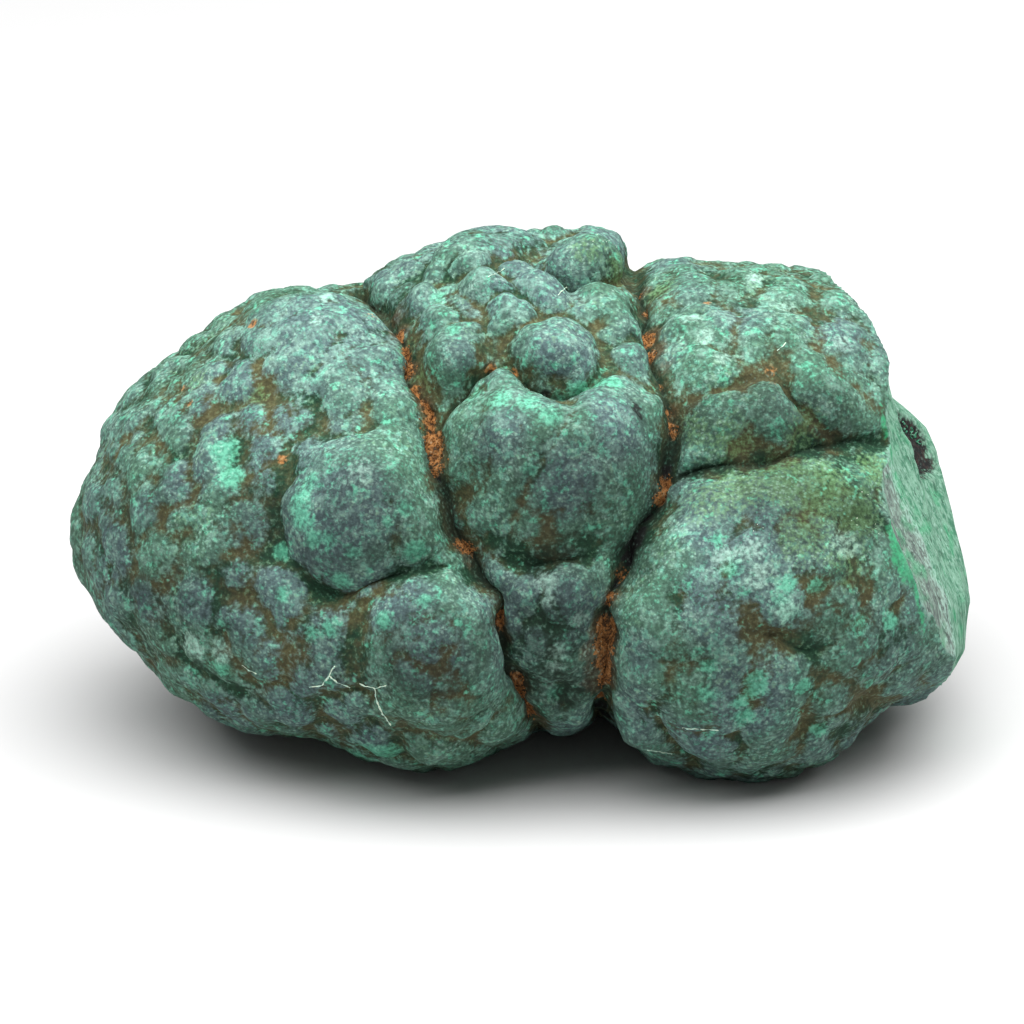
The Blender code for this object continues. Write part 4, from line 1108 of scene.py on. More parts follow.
normals = vertex_normals(spots, quads)
fine_hollow = sunk_below(8)      # a copy relaxed a little shows the small hollows
wide_hollow = sunk_below(70)     # and one relaxed for long the wide ones
put(mesh, "fine_hollow", fine_hollow / 0.1)
put(mesh, "wide_hollow", wide_hollow / 0.5)
print("hollows, mm: fine", fine_hollow.std().round(3), "wide", wide_hollow.std().round(3))

# %% [markdown]
# ## Marks listed one by one
# Some finishes belong to one place: this mint patch, that run of clay. They are listed as
# soft-edged spots, and the material frays their edges later. The names are those of the finishes
# further down. First the crusts: mint and frosty patches on the crests of a few lobes.

# %% Marks of crusts
# Each as (across, up, radius, strength) on the face, in millimetres.
MARKS = {
    "mint": [
        (-25.3, 4.5, 1.7, 1.1), (-24.7, 2.3, 1.5, 1), (-25.5, -13.9, 1, 0.9),
        (-18.9, 0.4, 1.5, 0.9), (-18, 1.9, 1.1, 0.8), (-18.7, -1, 1.6, 0.9), (-17.7, -3, 1.2, 1),
        (-16.5, -2.9, 1, 0.9), (-20.4, -3.9, 1.1, 1.1), (-10.2, -0.3, 1, 0.9),
        (-11.5, -1.5, 0.9, 0.7), (-14.5, -4, 1, 0.9), (-15.4, -6.4, 1.4, 0.8), (-9.1, -4, 1.4, 1.1),
        (-11.9, -9.6, 1.1, 1), (-8.4, -7.9, 0.9, 0.8), (-16.5, -10.4, 1.1, 1), (-18, -10.8, 1, 0.9),
        (-20.4, -7.5, 1, 0.8), (-12.5, -21, 2.4, 1.1), (-14.1, -21.3, 1.6, 1),
        (-11.1, -20.7, 1.4, 0.9), (-4.3, 9.1, 1.4, 0.6), (-2.2, 8.8, 1.6, 0.65),
        (0.4, 8.5, 1.6, 0.75), (1.9, 7.6, 1.6, 0.7), (2.9, 8.7, 1.4, 0.65), (4.6, 9.6, 1.5, 0.75),
        (6.3, 10.2, 1.4, 0.8), (7.4, 10.3, 1.2, 1), (17, -5.4, 1.2, 1.1), (21.9, -6.6, 1, 1.1),
        (21.3, -8.3, 1.1, 0.9), (21.9, -9.2, 1.2, 0.9), (24.2, -6.8, 1, 0.9),
        (19.3, -14.7, 1.2, 1.2), (19.2, -15.6, 1.1, 1.2), (23.2, -15.3, 1, 1.2),
        (17.9, -16.5, 1, 1), (18.2, -17.8, 1.3, 1), (27.9, -9.9, 1.1, 0.9), (30.5, -9.8, 1.2, 0.9),
        (15, -15.8, 1.2, 0.9), (24.6, -18.9, 1.1, 0.8), (15.2, -13.4, 1.1, 0.9),
        (28.9, -15.1, 0.9, 0.8), (2.5, -15.8, 1.2, 0.6), (0.4, 2.9, 1, 0.7), (-6, 14.8, 1.1, 0.7),
        (-7.3, 17.4, 1.2, 0.6),
    ],
    "frost": [
        (21.6, -9, 1.6, 0.9), (26.7, -3.4, 1.6, 0.8), (18.9, -3.6, 1.4, 0.8),
        (16.5, -4.7, 1.6, 0.8), (19.5, -6, 1.4, 0.7), (1.7, -6.4, 1.4, 0.7), (1.8, -7.9, 1.2, 0.65),
        (4.5, -9.6, 1.2, 0.7), (2.5, -12.4, 1.2, 0.65), (2.6, -13.4, 1.1, 0.6),
        (14, 15.7, 1.1, 0.9), (15.1, 14, 1.1, 0.8), (16.5, 12.3, 1.1, 0.8), (19.5, 19.3, 1.1, 0.8),
        (22.1, 16.5, 1.1, 0.7), (26.7, 13.6, 1.2, 0.8), (-28.1, -11.9, 1.6, 0.8),
        (-25.5, -12.4, 1.4, 0.7), (-16.6, 17.4, 1.4, 0.5), (-17.5, 15.7, 1.4, 0.5),
        (-13.6, 2.9, 1.6, 0.6), (-15.3, 2.1, 1.2, 0.6), (-4.7, 18.2, 1.2, 0.5),
        (-2.2, 19.1, 1.2, 0.5),
    ],
}
print("marks of crusts:", {name: len(marks) for name, marks in MARKS.items()})

# %% [markdown]
# ## Marks in the creases
# Rust-coloured clay lies in beads along the creases, and most of it right of the heart-shaped
# lobe. A few gaps are so deep that they look black, and their shade is painted black.

# %% Marks in the creases
MARKS |= {
    "clay": [
        (-11, 15.9, 1.4, 0.85), (-10.5, 14.4, 1.4, 0.9), (-9.9, 12.7, 1.4, 0.9),
        (-9.5, 11.3, 1.4, 0.9), (-9.1, 9.7, 1.4, 0.9), (-8.6, 8.2, 1.4, 0.9), (-8.1, 6.8, 1.5, 0.9),
        (-7.7, 5.3, 1.5, 0.95), (-7.4, 4.1, 1.5, 0.95), (-7.3, 3.1, 1.4, 0.8),
        (-5.3, -3.7, 1.5, 0.95), (-4.9, -4.7, 1.2, 0.7), (-1.9, -9.6, 1.4, 0.85),
        (-1.6, -10.8, 1.2, 0.7), (-0.6, -15.3, 1.9, 1.05), (0, -16.4, 2, 1.05),
        (0.9, -17.6, 1.9, 0.95), (1.7, -18.5, 1.4, 0.75), (10.1, 18, 1.4, 0.85),
        (10.4, 16.5, 1.2, 0.65), (10.8, 14.2, 1.7, 1), (11, 12.8, 1.7, 0.95),
        (11.5, 11.4, 1.2, 0.8), (11.8, 10.1, 1.1, 0.7), (12.4, 8, 1.1, 0.65), (12.3, 6.2, 1.1, 0.6),
        (11.6, 1.7, 1.2, 0.85), (11.3, 0.6, 1.2, 0.85), (7.9, -5.6, 1.4, 0.85),
        (7.1, -7.9, 1.4, 0.85), (6.2, -10.5, 2, 1.15), (6.2, -11.9, 2.1, 1.25),
        (6.1, -13.2, 2.1, 1.25), (6.2, -14.6, 2.1, 1.2), (6.4, -15.9, 1.9, 1),
        (5.3, -12.4, 1.5, 0.85),
    ],
    "rust": [
        (-3, 11.4, 0.7, 0.75), (-0.9, 11, 0.7, 0.65), (-13, 15.9, 0.7, 0.6), (-23, 15.3, 0.7, 0.95),
        (-28.9, 9.9, 0.5, 0.75), (-28.3, 8.5, 0.5, 0.65), (-20.3, 3.8, 0.7, 0.85),
        (15.3, 17, 0.6, 0.65), (20.6, 11.3, 0.8, 0.65), (20.6, 10.2, 0.6, 0.5),
    ],
    # gap: painted shade, black where a crease is deepest
    "gap": [
        (11.9, 2.9, 0.8, 1), (11.8, 2.3, 0.7, 1), (10.2, -1.1, 0.8, 1.1), (9.7, -2.3, 0.9, 1.3),
        (9.1, -3.4, 1.1, 1.5), (8.5, -4.5, 1, 1.4), (7.5, -6.6, 0.7, 1.1), (7, -8.2, 0.7, 1.1),
        (6.4, -17, 0.9, 1.1), (6.7, -17.8, 1, 1.2), (-7.3, 2.1, 0.6, 0.8), (9.2, 8, 0.7, 1.2),
        (9.6, 7.4, 0.6, 1.1), (8.7, 8.7, 0.5, 0.8), (1.7, 9.3, 0.7, 0.8), (6.3, -16.9, 0.8, 1),
        (33.1, -2.2, 0.3, 0.8), (33.7, -3.4, 0.3, 0.7), (2.9, 6.2, 0.5, 0.5), (-0.5, -17, 0.5, 0.7),
    ],
}
print("marks so far:", {name: len(marks) for name, marks in MARKS.items()})

# %% [markdown]
# ## Regions of colour
# Wide, soft marks give each lobe its own mix: where the film is olive or green, where the crust
# turns slate, where it is dusty, and which deep places get painted shade.

# %% Regions of colour
MARKS |= {
    "olive": [
        (-7.3, -12.4, 3.9, 0.7), (-10.7, -11.5, 2.6, 0.5), (6.3, 0.4, 2.9, 0.8),
        (1.2, -2.2, 3.4, 0.7), (9.7, 2.9, 2, 0.7), (14.8, 12.3, 2.6, 0.5), (18.2, 6.3, 3.4, 0.9),
        (23.3, 7.2, 2.6, 0.9), (-14.9, -4.7, 2, 0.5), (-19.2, -9, 1.7, 0.7), (-24.3, -7.3, 2, 0.6),
        (-16.6, 4.2, 1.9, 0.6), (-8.5, 8.9, 3.4, 0.9), (-9.8, 4.6, 2.6, 0.7),
        (-3.9, 13.1, 2.6, 0.6), (8, 19.1, 3.1, 0.8), (11.4, 17.4, 2.6, 0.7), (19.9, 9.3, 4.2, 0.9),
        (23.3, 10.6, 2.6, 0.8), (27.6, 8.9, 3.4, 0.8), (20.8, 6.3, 4.2, 0.8), (16.5, 5.5, 2.6, 0.7),
        (25.9, 7.2, 3.4, 0.8), (14.8, 8.9, 3.4, 0.6), (19.9, -11.5, 4.2, 0.8),
        (25.9, -8.1, 5.1, 0.8), (27.6, -16.6, 4.2, 0.7), (2.9, -0.5, 3.4, 0.5), (8, -1.3, 2.6, 0.6),
        (-20.9, 7.2, 2.6, 0.7), (-21.7, 10.6, 2.6, 0.6), (-8.1, 2.9, 2.1, 0.8),
        (-2.2, -4.7, 2.6, 0.5), (-16.6, -9.8, 2.6, 0.6), (-23.8, -3, 2.6, 0.6),
        (-19.2, -12.4, 2.6, 0.6), (25, 0.4, 5.1, 0.6), (14.8, -7.3, 2, 0.6), (-3.9, -9.8, 2.6, 0.5),
        (-5.6, -16.6, 2.6, 0.6), (-29.4, -1.3, 2.1, 0.5), (-26.8, 7.2, 1.7, 0.6),
        (-31.1, -6.4, 1.7, 0.5),
    ],
    "slate": [
        (-28.9, 1.7, 2.6, 1), (-31.9, -0.5, 2.6, 1), (-34.5, -3.9, 3, 1), (-31.9, -8.1, 2.6, 0.9),
        (-27.7, -8.1, 2.6, 0.9), (-25.1, -17.6, 3.4, 1), (-12.8, -19.2, 2.6, 0.6),
        (-15.8, -0.5, 4.2, 0.7), (-10.7, -8.1, 4.2, 0.8), (-8.1, -12.4, 4.2, 0.8),
        (-0.5, 17.4, 3.4, 0.3), (2.9, 17.4, 2.6, 0.35), (-3.9, 15.7, 2.6, 0.3),
        (-5.6, 13.1, 2.6, 0.4), (2.9, 12.7, 3.4, 0.55), (2.9, 2.1, 4.2, 0.9), (-2.2, 5.5, 3.4, 0.9),
        (8, 6.3, 3.4, 0.6), (18.2, 15.7, 3.4, 0.7), (14.8, -1.3, 3.4, 0.7), (16.5, -8.1, 4.2, 0.8),
        (18.2, -16.6, 4.2, 0.8), (14.8, -20, 3.4, 0.7), (9.7, -12.4, 2.6, 0.7),
        (-17.5, 17.4, 4.2, 0.5), (-19.2, 14, 2.6, 0.4), (25.9, 14.8, 3.4, 0.5),
        (2.9, -8.1, 2.6, 0.7),
    ],
    "dust": [
        (-19.2, 14.8, 7.7, 0.8), (-23.4, 13.1, 5.1, 0.5), (-14.9, 17.4, 4.2, 0.7),
        (-4.7, 18.2, 6, 0.8), (1.2, 18.2, 5.1, 0.8), (-8.1, 15.7, 3.4, 0.7), (3.8, 13.1, 2.6, 0.4),
        (16.5, 15.7, 5.1, 0.5), (21.6, 17.4, 5.1, 0.4), (0.4, 8.9, 3.4, 0.5), (14.8, 0.4, 5.1, 0.5),
        (18.2, -5.6, 5.1, 0.5), (-16.6, 0.4, 4.2, 0.3), (14.8, -11.5, 5.1, 0.3),
        (-3.9, 8.9, 2.6, 0.4),
    ],
    "green": [
        (2.1, -9.8, 3.1, 1.2), (1.9, -13.6, 2.9, 1.1), (4.2, -11.5, 2, 1), (-0.5, -11.5, 1.9, 0.9),
        (4.6, -15.8, 2.2, 1), (1.7, -17.9, 2, 0.9), (3.8, -4.4, 3.8, 0.6), (-0.5, -4, 2.6, 0.6),
        (8, -3.4, 2.6, 0.7), (14, 2.9, 1.7, 0.8), (16.5, 3.4, 1.7, 0.8), (19.9, 3.8, 1.7, 0.8),
        (23.3, 4.6, 1.9, 0.8), (26.7, 5.2, 1.7, 0.8), (29.3, 5.5, 1.5, 0.7), (-10.7, -6, 1.9, 0.8),
        (-8.1, -5.6, 1.9, 0.8), (-5.6, -5.6, 1.7, 0.8), (-16.6, -7.3, 1.7, 0.6),
        (-2.2, -3, 1.9, 0.6), (5.5, 20.8, 2.6, 0.7), (7.2, 19.9, 1.7, 0.7), (-3.9, 13.6, 1.7, 0.6),
        (-6.8, 9.3, 2.1, 0.6), (9.7, -8.1, 1.7, 0.6), (31, -11.5, 2.6, 0.6),
        (27.6, -18.3, 2.6, 0.7), (19.9, -22.6, 2.6, 0.7), (23.3, -11.5, 2.6, 0.6),
        (27.6, 0.4, 5.1, 0.5), (25, -4.7, 3.4, 0.5), (9.7, -4.7, 1.7, 0.7), (-33.6, -9.8, 1.7, 0.5),
    ],
    "moss": [
        (14.8, 0.4, 2.9, 0.5), (18.2, 1.2, 3.4, 0.7), (21.6, 2.1, 3.9, 0.9), (25, 1.2, 4.2, 1),
        (27.6, -0.5, 3.4, 1), (29.3, 2.9, 2.2, 1), (23.3, -2.2, 3.4, 0.7), (26.7, -4.7, 2.9, 0.6),
        (17.4, 5.5, 2.6, 0.6), (23.3, 6.3, 2.6, 0.7), (14, 6.3, 2, 0.5), (8, 19.9, 2.2, 0.6),
        (5.5, 21.6, 2, 0.5), (11.4, 18.2, 2, 0.7), (-8.1, 6.3, 1.7, 0.5), (-9, 10.2, 1.9, 0.6),
        (-9.8, 13.1, 1.5, 0.6), (-27.7, 10.6, 1.5, 0.5), (-22.6, 8.9, 1.7, 0.5),
    ],
    "leaf": [
        (29.5, 8.5, 1, 0.8), (29.7, 7.2, 1.1, 0.9), (29.9, 6, 0.9, 0.8), (30.8, -2.2, 1, 0.8),
        (31.2, -3.4, 1.2, 1), (31.5, -4.7, 1.4, 1.2), (31.8, -6, 1.4, 1.2), (32.2, -7.3, 1.3, 1.1),
        (32.4, -8.5, 1.1, 1), (32.7, -9.8, 1.2, 1), (33, -11.3, 1.2, 1), (33.3, -12.8, 1.1, 0.9),
    ],
    # deep: painted shade, a darker colour on low and deep places
    "deep": [
        (21.6, 0.4, 6, 0.9), (27.6, -1.3, 4.2, 0.9), (17.4, -1.3, 4.2, 0.5), (14.8, 1.2, 3.4, 0.5),
        (2.1, -6.6, 2.9, 1.1), (5.5, -6.8, 1.7, 1), (-1.3, -7.3, 1.7, 0.9), (21.6, 13.1, 5.1, 0.3),
        (-27.7, 6.3, 4.2, 0.4), (-34.5, -1.3, 4.2, 0.5), (-31.9, -8.1, 4.2, 0.5),
        (2.9, 2.1, 7.7, 0.8), (-3.9, 4.6, 4.2, 0.6), (8, 2.9, 4.2, 0.7), (-8.1, -12.4, 6, 1.2),
        (-3.9, -11.5, 3.4, 0.8), (2.1, -9.8, 4.2, 1.5), (2.5, -14.9, 3.7, 1.4), (2.1, -5.6, 3.4, 1),
        (-13.2, -0.5, 6, 1), (-9, -3, 3.4, 0.8), (-17.5, -4.7, 4.2, 0.6), (-22.6, -1.3, 5.1, 0.7),
        (-25.1, -8.1, 5.1, 0.5), (26.7, 13.1, 4.2, 0.3), (19.9, -4.7, 5.1, 0.4),
        (19.9, 8, 5.1, 0.9), (25, 7.2, 4.2, 0.9), (14.8, 7.2, 3.4, 0.8), (16.5, -11.5, 6.8, 0.5),
        (9.7, -4.7, 3.4, 0.7), (25.9, -8.1, 5.1, 0.5), (-16.6, -11.5, 5.1, 0.4),
        (-30.2, 0.4, 5.1, 0.5), (-28.5, -7.3, 5.1, 0.5), (-25.1, 3.8, 4.2, 0.3),
    ],
}
print("marks so far:", {name: len(marks) for name, marks in MARKS.items()})

# %% [markdown]
# ## Where grains lie
# Loose crystals belong to a few places too: dark green ones in the pit of the break, and tiny
# near-white ones here and there on the lobes, whose pale colour paints a glint.

# %% Marks of grains
MARKS |= {
    "crystal": [
        (32.3, 6.5, 0.6, 1), (32.9, 6, 0.7, 1.1), (33.3, 5.5, 0.5, 0.8), (31.8, 7.2, 0.4, 0.6),
    ],
    "painted_glint": [
        (29.3, 5.7, 0.6, 0.8), (27.6, 5.4, 0.7, 0.9), (25.5, 5, 0.7, 0.7), (23.3, 4.5, 0.7, 0.8),
        (28.6, 0.4, 1.4, 0.6), (27.4, -1.3, 1.2, 0.6), (29.5, -2.2, 1.2, 0.6),
        (19.6, -2.3, 1.2, 0.6), (6.3, 22.5, 1.9, 0.7), (3.8, 22.7, 1.5, 0.6), (8, 21.6, 1.4, 0.6),
    ],
}
print("marks:", sum(map(len, MARKS.values())), "of", len(MARKS), "kinds")

# %% [markdown]
# ## Marks onto the mesh
# A mark is placed as it is seen, by a ray from in front of the face to the stone. The clay is
# narrowed to a thin bed along the bottom of its crease, wider where there is more of it, and its
# full spread is kept as a stain.

# %% Marks onto the mesh
tree_of_stone = BVHTree.FromPolygons([Vector(p) for p in read_points(mesh)], quads.tolist())


def touch(a, b):
    """The point of the stone seen at this place of the face, and its normal, in metres."""
    start = in_world(np.array([a, b, 60.0]))
    place, normal, _, _ = tree_of_stone.ray_cast(Vector(start), Vector(-OUT))
    return place, normal


def marked(marks):
    """How strongly each point of the mesh belongs to a list of marks."""
    value = np.zeros(len(spots))
    for a, b, radius, strength in marks:
        place = touch(a, b)[0]
        if place is None:
            print("off the stone:", a, b)
            continue
        middle = np.array(place) * 1000
        share = ((spots - middle) ** 2).sum(1) / radius**2
        value = np.maximum(value, strength * np.clip(1 - share, 0, 1))
    return value


for name, marks in MARKS.items():
    value = marked(marks)
    if name == "clay":
        put(mesh, "stain", value)
        value *= 1 - smoothstep(near / (0.08 + 0.16 * value**3), 0.4, 1)
    put(mesh, name, value)
    print(name, "reaches", int((value > 0.3).sum()), "points")

# %% [markdown]
# ## Shares that follow the shape
# The rest follows from measures taken above: the bottom of a crease, which gets painted shade,
# the strip beside it, how far the surface faces up, for dust and for painted light from above,
# and the parts of the break.

# %% Shares from the shape
deep = smoothstep(depth, 0.8, 2.5)
# how far each point faces up: the skin is lighter there, for dust and as painted light from above
facing = vertex_normals(relaxed(spots, quads, 70), quads)[:, 2]
for name, value in (
    ("crease", (1 - smoothstep(near, 0.05, 0.3)) * deep),
    ("beside", (1 - smoothstep(near, 0.1, 0.75)) * smoothstep(broken, 0.5, 0.0)),
    ("facing", facing), ("brink", brink), ("pit", pit), ("rear", rear), ("crest", crest),
):
    put(mesh, name, value)
    print(name, "on average", value.mean().round(2))

# %% [markdown]
# ## Grain, as a shared node group
# Every finish of this stone is grainy, at much the same scale: specks of 0.1 to 0.4 mm that
# gather in branching clumps. That is one effect used by several materials, so it is built once as
# a node group. Noise bent by other noise gives the branching clumps; plain noise would give round
# blots. It puts out a fine tone, a mask for light specks, the clumps, and a height for the bump.

# %% Grain group
def grain_group():
    tree = bpy.data.node_groups.new("mineral grain", "ShaderNodeTree")
    new_sockets(tree, [
        ("Place", "Vector", None), ("Size", "Float", 1.0), ("Cover", "Float", 0.5),
    ], [("Tone", "Float"), ("Specks", "Float"), ("Clump", "Float"), ("Height", "Float")])
    w = Wiring(tree)
    given = w.node("NodeGroupInput").outputs
    at = w.vector("SCALE", given["Place"], scale=w.math("DIVIDE", 1.0, given["Size"]))
    bent = w.vector("ADD", at, w.sway(at, 2.4, 0.3, 1.0))
    fine = w.noise(at, 0.4, 3.0, 0.6)
    clump = w.noise(at, 1.6, 3.0, 0.6, 0.3)
    specks = w.cells(bent, 0.34).outputs
    here = w.node("ShaderNodeSeparateColor", {"Color": specks["Color"]}).outputs[0]
    here = w.add(here, w.times(w.math("SUBTRACT", clump, 0.5), 1.6), w.times(given["Cover"], 0.5))
    speck = w.times(w.ease(here, 0.7, 1.05), w.ease(specks["Distance"], 0.55, 0.2))
    w.node("NodeGroupOutput", {"Tone": w.ease(fine, 0.2, 0.8), "Specks": speck, "Clump": clump,
                               "Height": w.add(fine, w.times(speck, 0.4))})
    return tree


GRAIN = grain_group()
print("grain group:", len(GRAIN.nodes), "nodes")

# %% [markdown]
# ## A patch, as a shared node group
# A crust, a stain or a film is strongest in its middle and frays at its edge. The soft mark on
# the mesh and a fine noise are added and cut at a threshold: the edge then follows the grain and
# is far sharper than the mesh.

# %% Patch group
def patch_group():
    tree = bpy.data.node_groups.new("frayed patch", "ShaderNodeTree")
    new_sockets(tree, [
        ("Mark", "Float", 0.0), ("Grain", "Float", 0.5), ("Clump", "Float", 0.5),
        ("Threshold", "Float", 0.4), ("Softness", "Float", 0.1),
    ], [("Mask", "Float")])
    w = Wiring(tree)
    given = w.node("NodeGroupInput").outputs
    fray = w.add(w.times(w.math("SUBTRACT", given["Grain"], 0.5), 0.5),
                 w.times(w.math("SUBTRACT", given["Clump"], 0.5), 1.3))
    value = w.add(given["Mark"], w.times(fray, w.ease(given["Mark"], 0.0, 0.3)))
    low = w.math("SUBTRACT", given["Threshold"], given["Softness"])
    high = w.math("ADD", given["Threshold"], given["Softness"])
    w.node("NodeGroupOutput", {"Mask": w.ease(value, low, high)})
    return tree


PATCH = patch_group()
print("patch group:", len(PATCH.nodes), "nodes")

# %% [markdown]
# ## A material's own tree
# Each material here is one shader, its place on the stone in millimetres, and the two groups
# above with its own values. Everything ends in a colour and a height, so that is the last step.

# %% Material helper
class Finish(Wiring):
    """A material's tree: its shader, its coordinates in millimetres, and the shared groups."""

    def __init__(self, material, roughness, bump):
        material.use_nodes = True
        super().__init__(material.node_tree)
        self.shader = material.node_tree.nodes["Principled BSDF"]
        self.shader.inputs["Roughness"].default_value = roughness
        self.shader.inputs["Specular IOR Level"].default_value = 0.3
        place = self.node("ShaderNodeTexCoord").outputs["Object"]
        self.mm = self.node("ShaderNodeMapping", {
            "Vector": place, "Scale": (1000, 1000, 1000),
        }).outputs[0]
        self.bump_mm = bump

    def mark(self, name):
        return self.node("ShaderNodeAttribute", attribute_name=name).outputs["Fac"]

    def grain(self, size, cover=0.5):
        """The outputs of the grain group, for grains of this size."""
        return self.node("ShaderNodeGroup", {
            "Place": self.mm, "Size": size, "Cover": cover,
        }, node_tree=GRAIN).outputs

    def patch(self, mark, grain, clump, threshold=0.4, softness=0.08):
        """A mask that is 1 inside a mark, with an edge frayed by the grain."""
        return self.node("ShaderNodeGroup", {
            "Mark": mark, "Grain": grain, "Clump": clump, "Threshold": threshold,
            "Softness": softness,
        }, node_tree=PATCH).outputs["Mask"]

    def coat(self, colour, height):
        """Sends the colour and the bump to the shader."""
        self.tree.links.new(colour, self.shader.inputs["Base Color"])
        bump = self.node("ShaderNodeBump", {
            "Height": height, "Strength": 1.0, "Distance": self.bump_mm / 1000,
        })
        self.tree.links.new(bump.outputs[0], self.shader.inputs["Normal"])


print("material helper ready")

# %% [markdown]
# ## The skin
# Up close the skin is two layers. A thin dark film, bottle green or olive brown, lies over the
# whole stone, and a dull mineral crust of teal, slate and paler clumps sits on it, thick on the
# crests and worn or never grown in the hollows. The crust's edge is ragged, so the cover is mostly
# shape plus noise, cut where the two meet. Painting each knob would never look grown.

# %% Film and crust
def film_and_crust(f, blot, grain, cover):
    """The dark film with the crust over it, before grain and marks."""
    brown = f.swing(f.noise(f.mm, 5.0, 6.0, 0.75), 3.4)
    brown = f.add(brown, f.times(f.mark("olive"), 0.6), f.times(f.mark("green"), -0.7), 0.5)
    film = f.mix(f.ease(brown, 0.1, 0.9), COLOUR["bottle"], COLOUR["olive"])
    region = f.add(f.noise(f.mm, 12.0, 1.0), f.times(f.mark("slate"), 0.3), f.times(blot, 0.3))
    crust = f.mix(f.ease(region, 0.55, 0.85), COLOUR["teal"], COLOUR["slate"])
    crust = f.mix(f.times(f.mark("slate"), 0.32), crust, COLOUR["purple"])
    pale = f.ease(f.add(grain["Clump"], f.times(f.mark("dust"), 0.12)), 0.48, 0.72)
    crust = f.mix(f.times(pale, 0.48), crust, COLOUR["light"])
    flecks = f.add(f.noise(f.mm, 0.75, 3.0, 0.6), f.swing(blot, 0.35))
    crust = f.mix(f.ease(flecks, 0.54, 0.68, 0.0, 0.55), crust, COLOUR["fleck"])
    colour = f.mix(cover, film, crust)
    moss = f.ease(f.add(f.mark("moss"), f.add(blot, -0.5), f.add(grain["Tone"], -0.5)), 0.1, 0.9)
    colour = f.mix(f.times(moss, 0.68), colour, COLOUR["moss"])
    return f.mix(f.times(f.mark("green"), 0.35), colour, COLOUR["bottle"])


print("film:", CHART["bottle"], CHART["olive"], "crust:", CHART["teal"], CHART["slate"])

# %% [markdown]
# ## Crusts and stains of one place
# Mint and frosty crusts grew on a few of the crests. Rust-coloured clay was washed into the
# creases, and left a brown stain around it. The marks on the mesh say where, and the grain says how
# each one frays. The bottoms of the deep creases are painted dark as shade, as little light gets
# there, and the deepest gaps are painted black as shade.

# %% Crusts and stains
def crusts_and_stains(f, colour, blot, grain, cover):
    """Mint and frost crusts on the crests, then rust, clay and painted shade in the creases."""
    tone, clump = grain["Tone"], grain["Clump"]
    spots = f.add(f.noise(f.mm, 1.3, 3.0, 0.65), f.times(cover, 0.05), f.times(tone, 0.12))
    mint = f.patch(f.mark("mint"), tone, clump, 0.5, 0.4)
    mint = f.math("MAXIMUM", mint, f.ease(spots, 0.68, 0.84))
    colour = f.mix(f.times(mint, 0.6), colour, COLOUR["mint"])
    frost = f.patch(f.mark("frost"), tone, clump, 0.5, 0.4)
    colour = f.mix(f.times(frost, 0.45), colour, COLOUR["frost"])
    # painted shade: the bottoms of the deep creases darkened
    colour = f.mix(f.times(f.mark("crease"), 0.82), colour, COLOUR["shade"])
    stain = f.add(f.times(f.mark("stain"), 1.0), f.swing(blot, 1.2),
                  f.swing(tone, 0.5))
    stain = f.times(f.ease(stain, 0.2, 0.9, 0.0, 0.6), f.ease(f.mark("stain"), 0.0, 0.2))
    colour = f.mix(stain, colour, COLOUR["dark clay"])
    rusty = f.math("MAXIMUM", f.mark("clay"), f.times(f.mark("rust"), 0.9))
    earth = f.ease(f.add(tone, f.times(clump, 0.4)), 0.3, 0.9)
    earth = f.mix(earth, COLOUR["dark clay"], COLOUR["clay"])
    colour = f.mix(f.times(f.patch(rusty, tone, clump, 0.45, 0.25), 0.85), colour, earth)
    # painted shade: the deepest gaps painted near-black
    black = f.patch(f.mark("gap"), tone, 0.5, 0.55, 0.2)
    return f.mix(f.times(black, 0.92), colour, COLOUR["painted shade black"])


print("crusts and stains read the marks mint, frost, crease, stain, clay, rust and gap")

# %% [markdown]
# ## The fresh break
# The broken end never grew a skin. It shows fibres that run down it, mauve grey on the strip
# next to the face and green behind the ridge, with pale lines on the ridge and a pit whose brown is
# its own and whose near-black is painted shade. A noise stretched along the fibres gives all of
# that; the ridge and the pit come from the mesh.

# %% Break colour
def break_colour(f, blot, grain):
    """The two halves of the break with their fibres, and the pit in it."""
    tone = grain["Tone"]
    turned = f.node("ShaderNodeMapping", {
        "Vector": f.mm, "Rotation": (math.radians(-LEAN), 0, 0), "Scale": (1.0, 1.0, 0.075),
    }).outputs[0]
    streak = f.noise(turned, 0.42, 4.0, 0.7)
    front = f.mix(f.ease(streak, 0.4, 0.6), COLOUR["break grey"], COLOUR["break pale"])
    rear = f.mix(f.ease(streak, 0.36, 0.62), COLOUR["break green"], COLOUR["break light"])
    behind = f.ease(f.add(f.mark("rear"), f.swing(blot, 1.5)), 0.2, 0.8)
    colour = f.mix(behind, front, rear)
    colour = f.mix(f.ease(blot, 0.5, 0.66, 0.0, 0.5), colour, COLOUR["leaf"])
    lines = f.add(f.noise(turned, 0.22, 2.0), f.times(f.mark("crest"), 0.22), f.times(tone, 0.1))
    colour = f.mix(f.ease(lines, 0.64, 0.78, 0.0, 0.5), colour, COLOUR["frost"])
    gaps = f.noise(f.vector("ADD", turned, (7.0, 3.0, 5.0)), 0.4, 3.0, 0.65)
    colour = f.mix(f.ease(gaps, 0.44, 0.3, 0.0, 0.6), colour, COLOUR["shade"])
    # the pit's brown is its lining; its near-black is painted shade in the hollow
    lining = f.ease(f.noise(f.mm, 0.7, 2.0), 0.45, 0.62)
    pit_lining_and_shade = f.mix(lining, COLOUR["painted shade black"], COLOUR["pit brown"])
    return f.mix(f.patch(f.mark("pit"), tone, grain["Clump"], 0.16, 0.16), colour, pit_lining_and_shade)


print("break:", CHART["break grey"], "in front of the ridge,", CHART["break green"], "behind it")
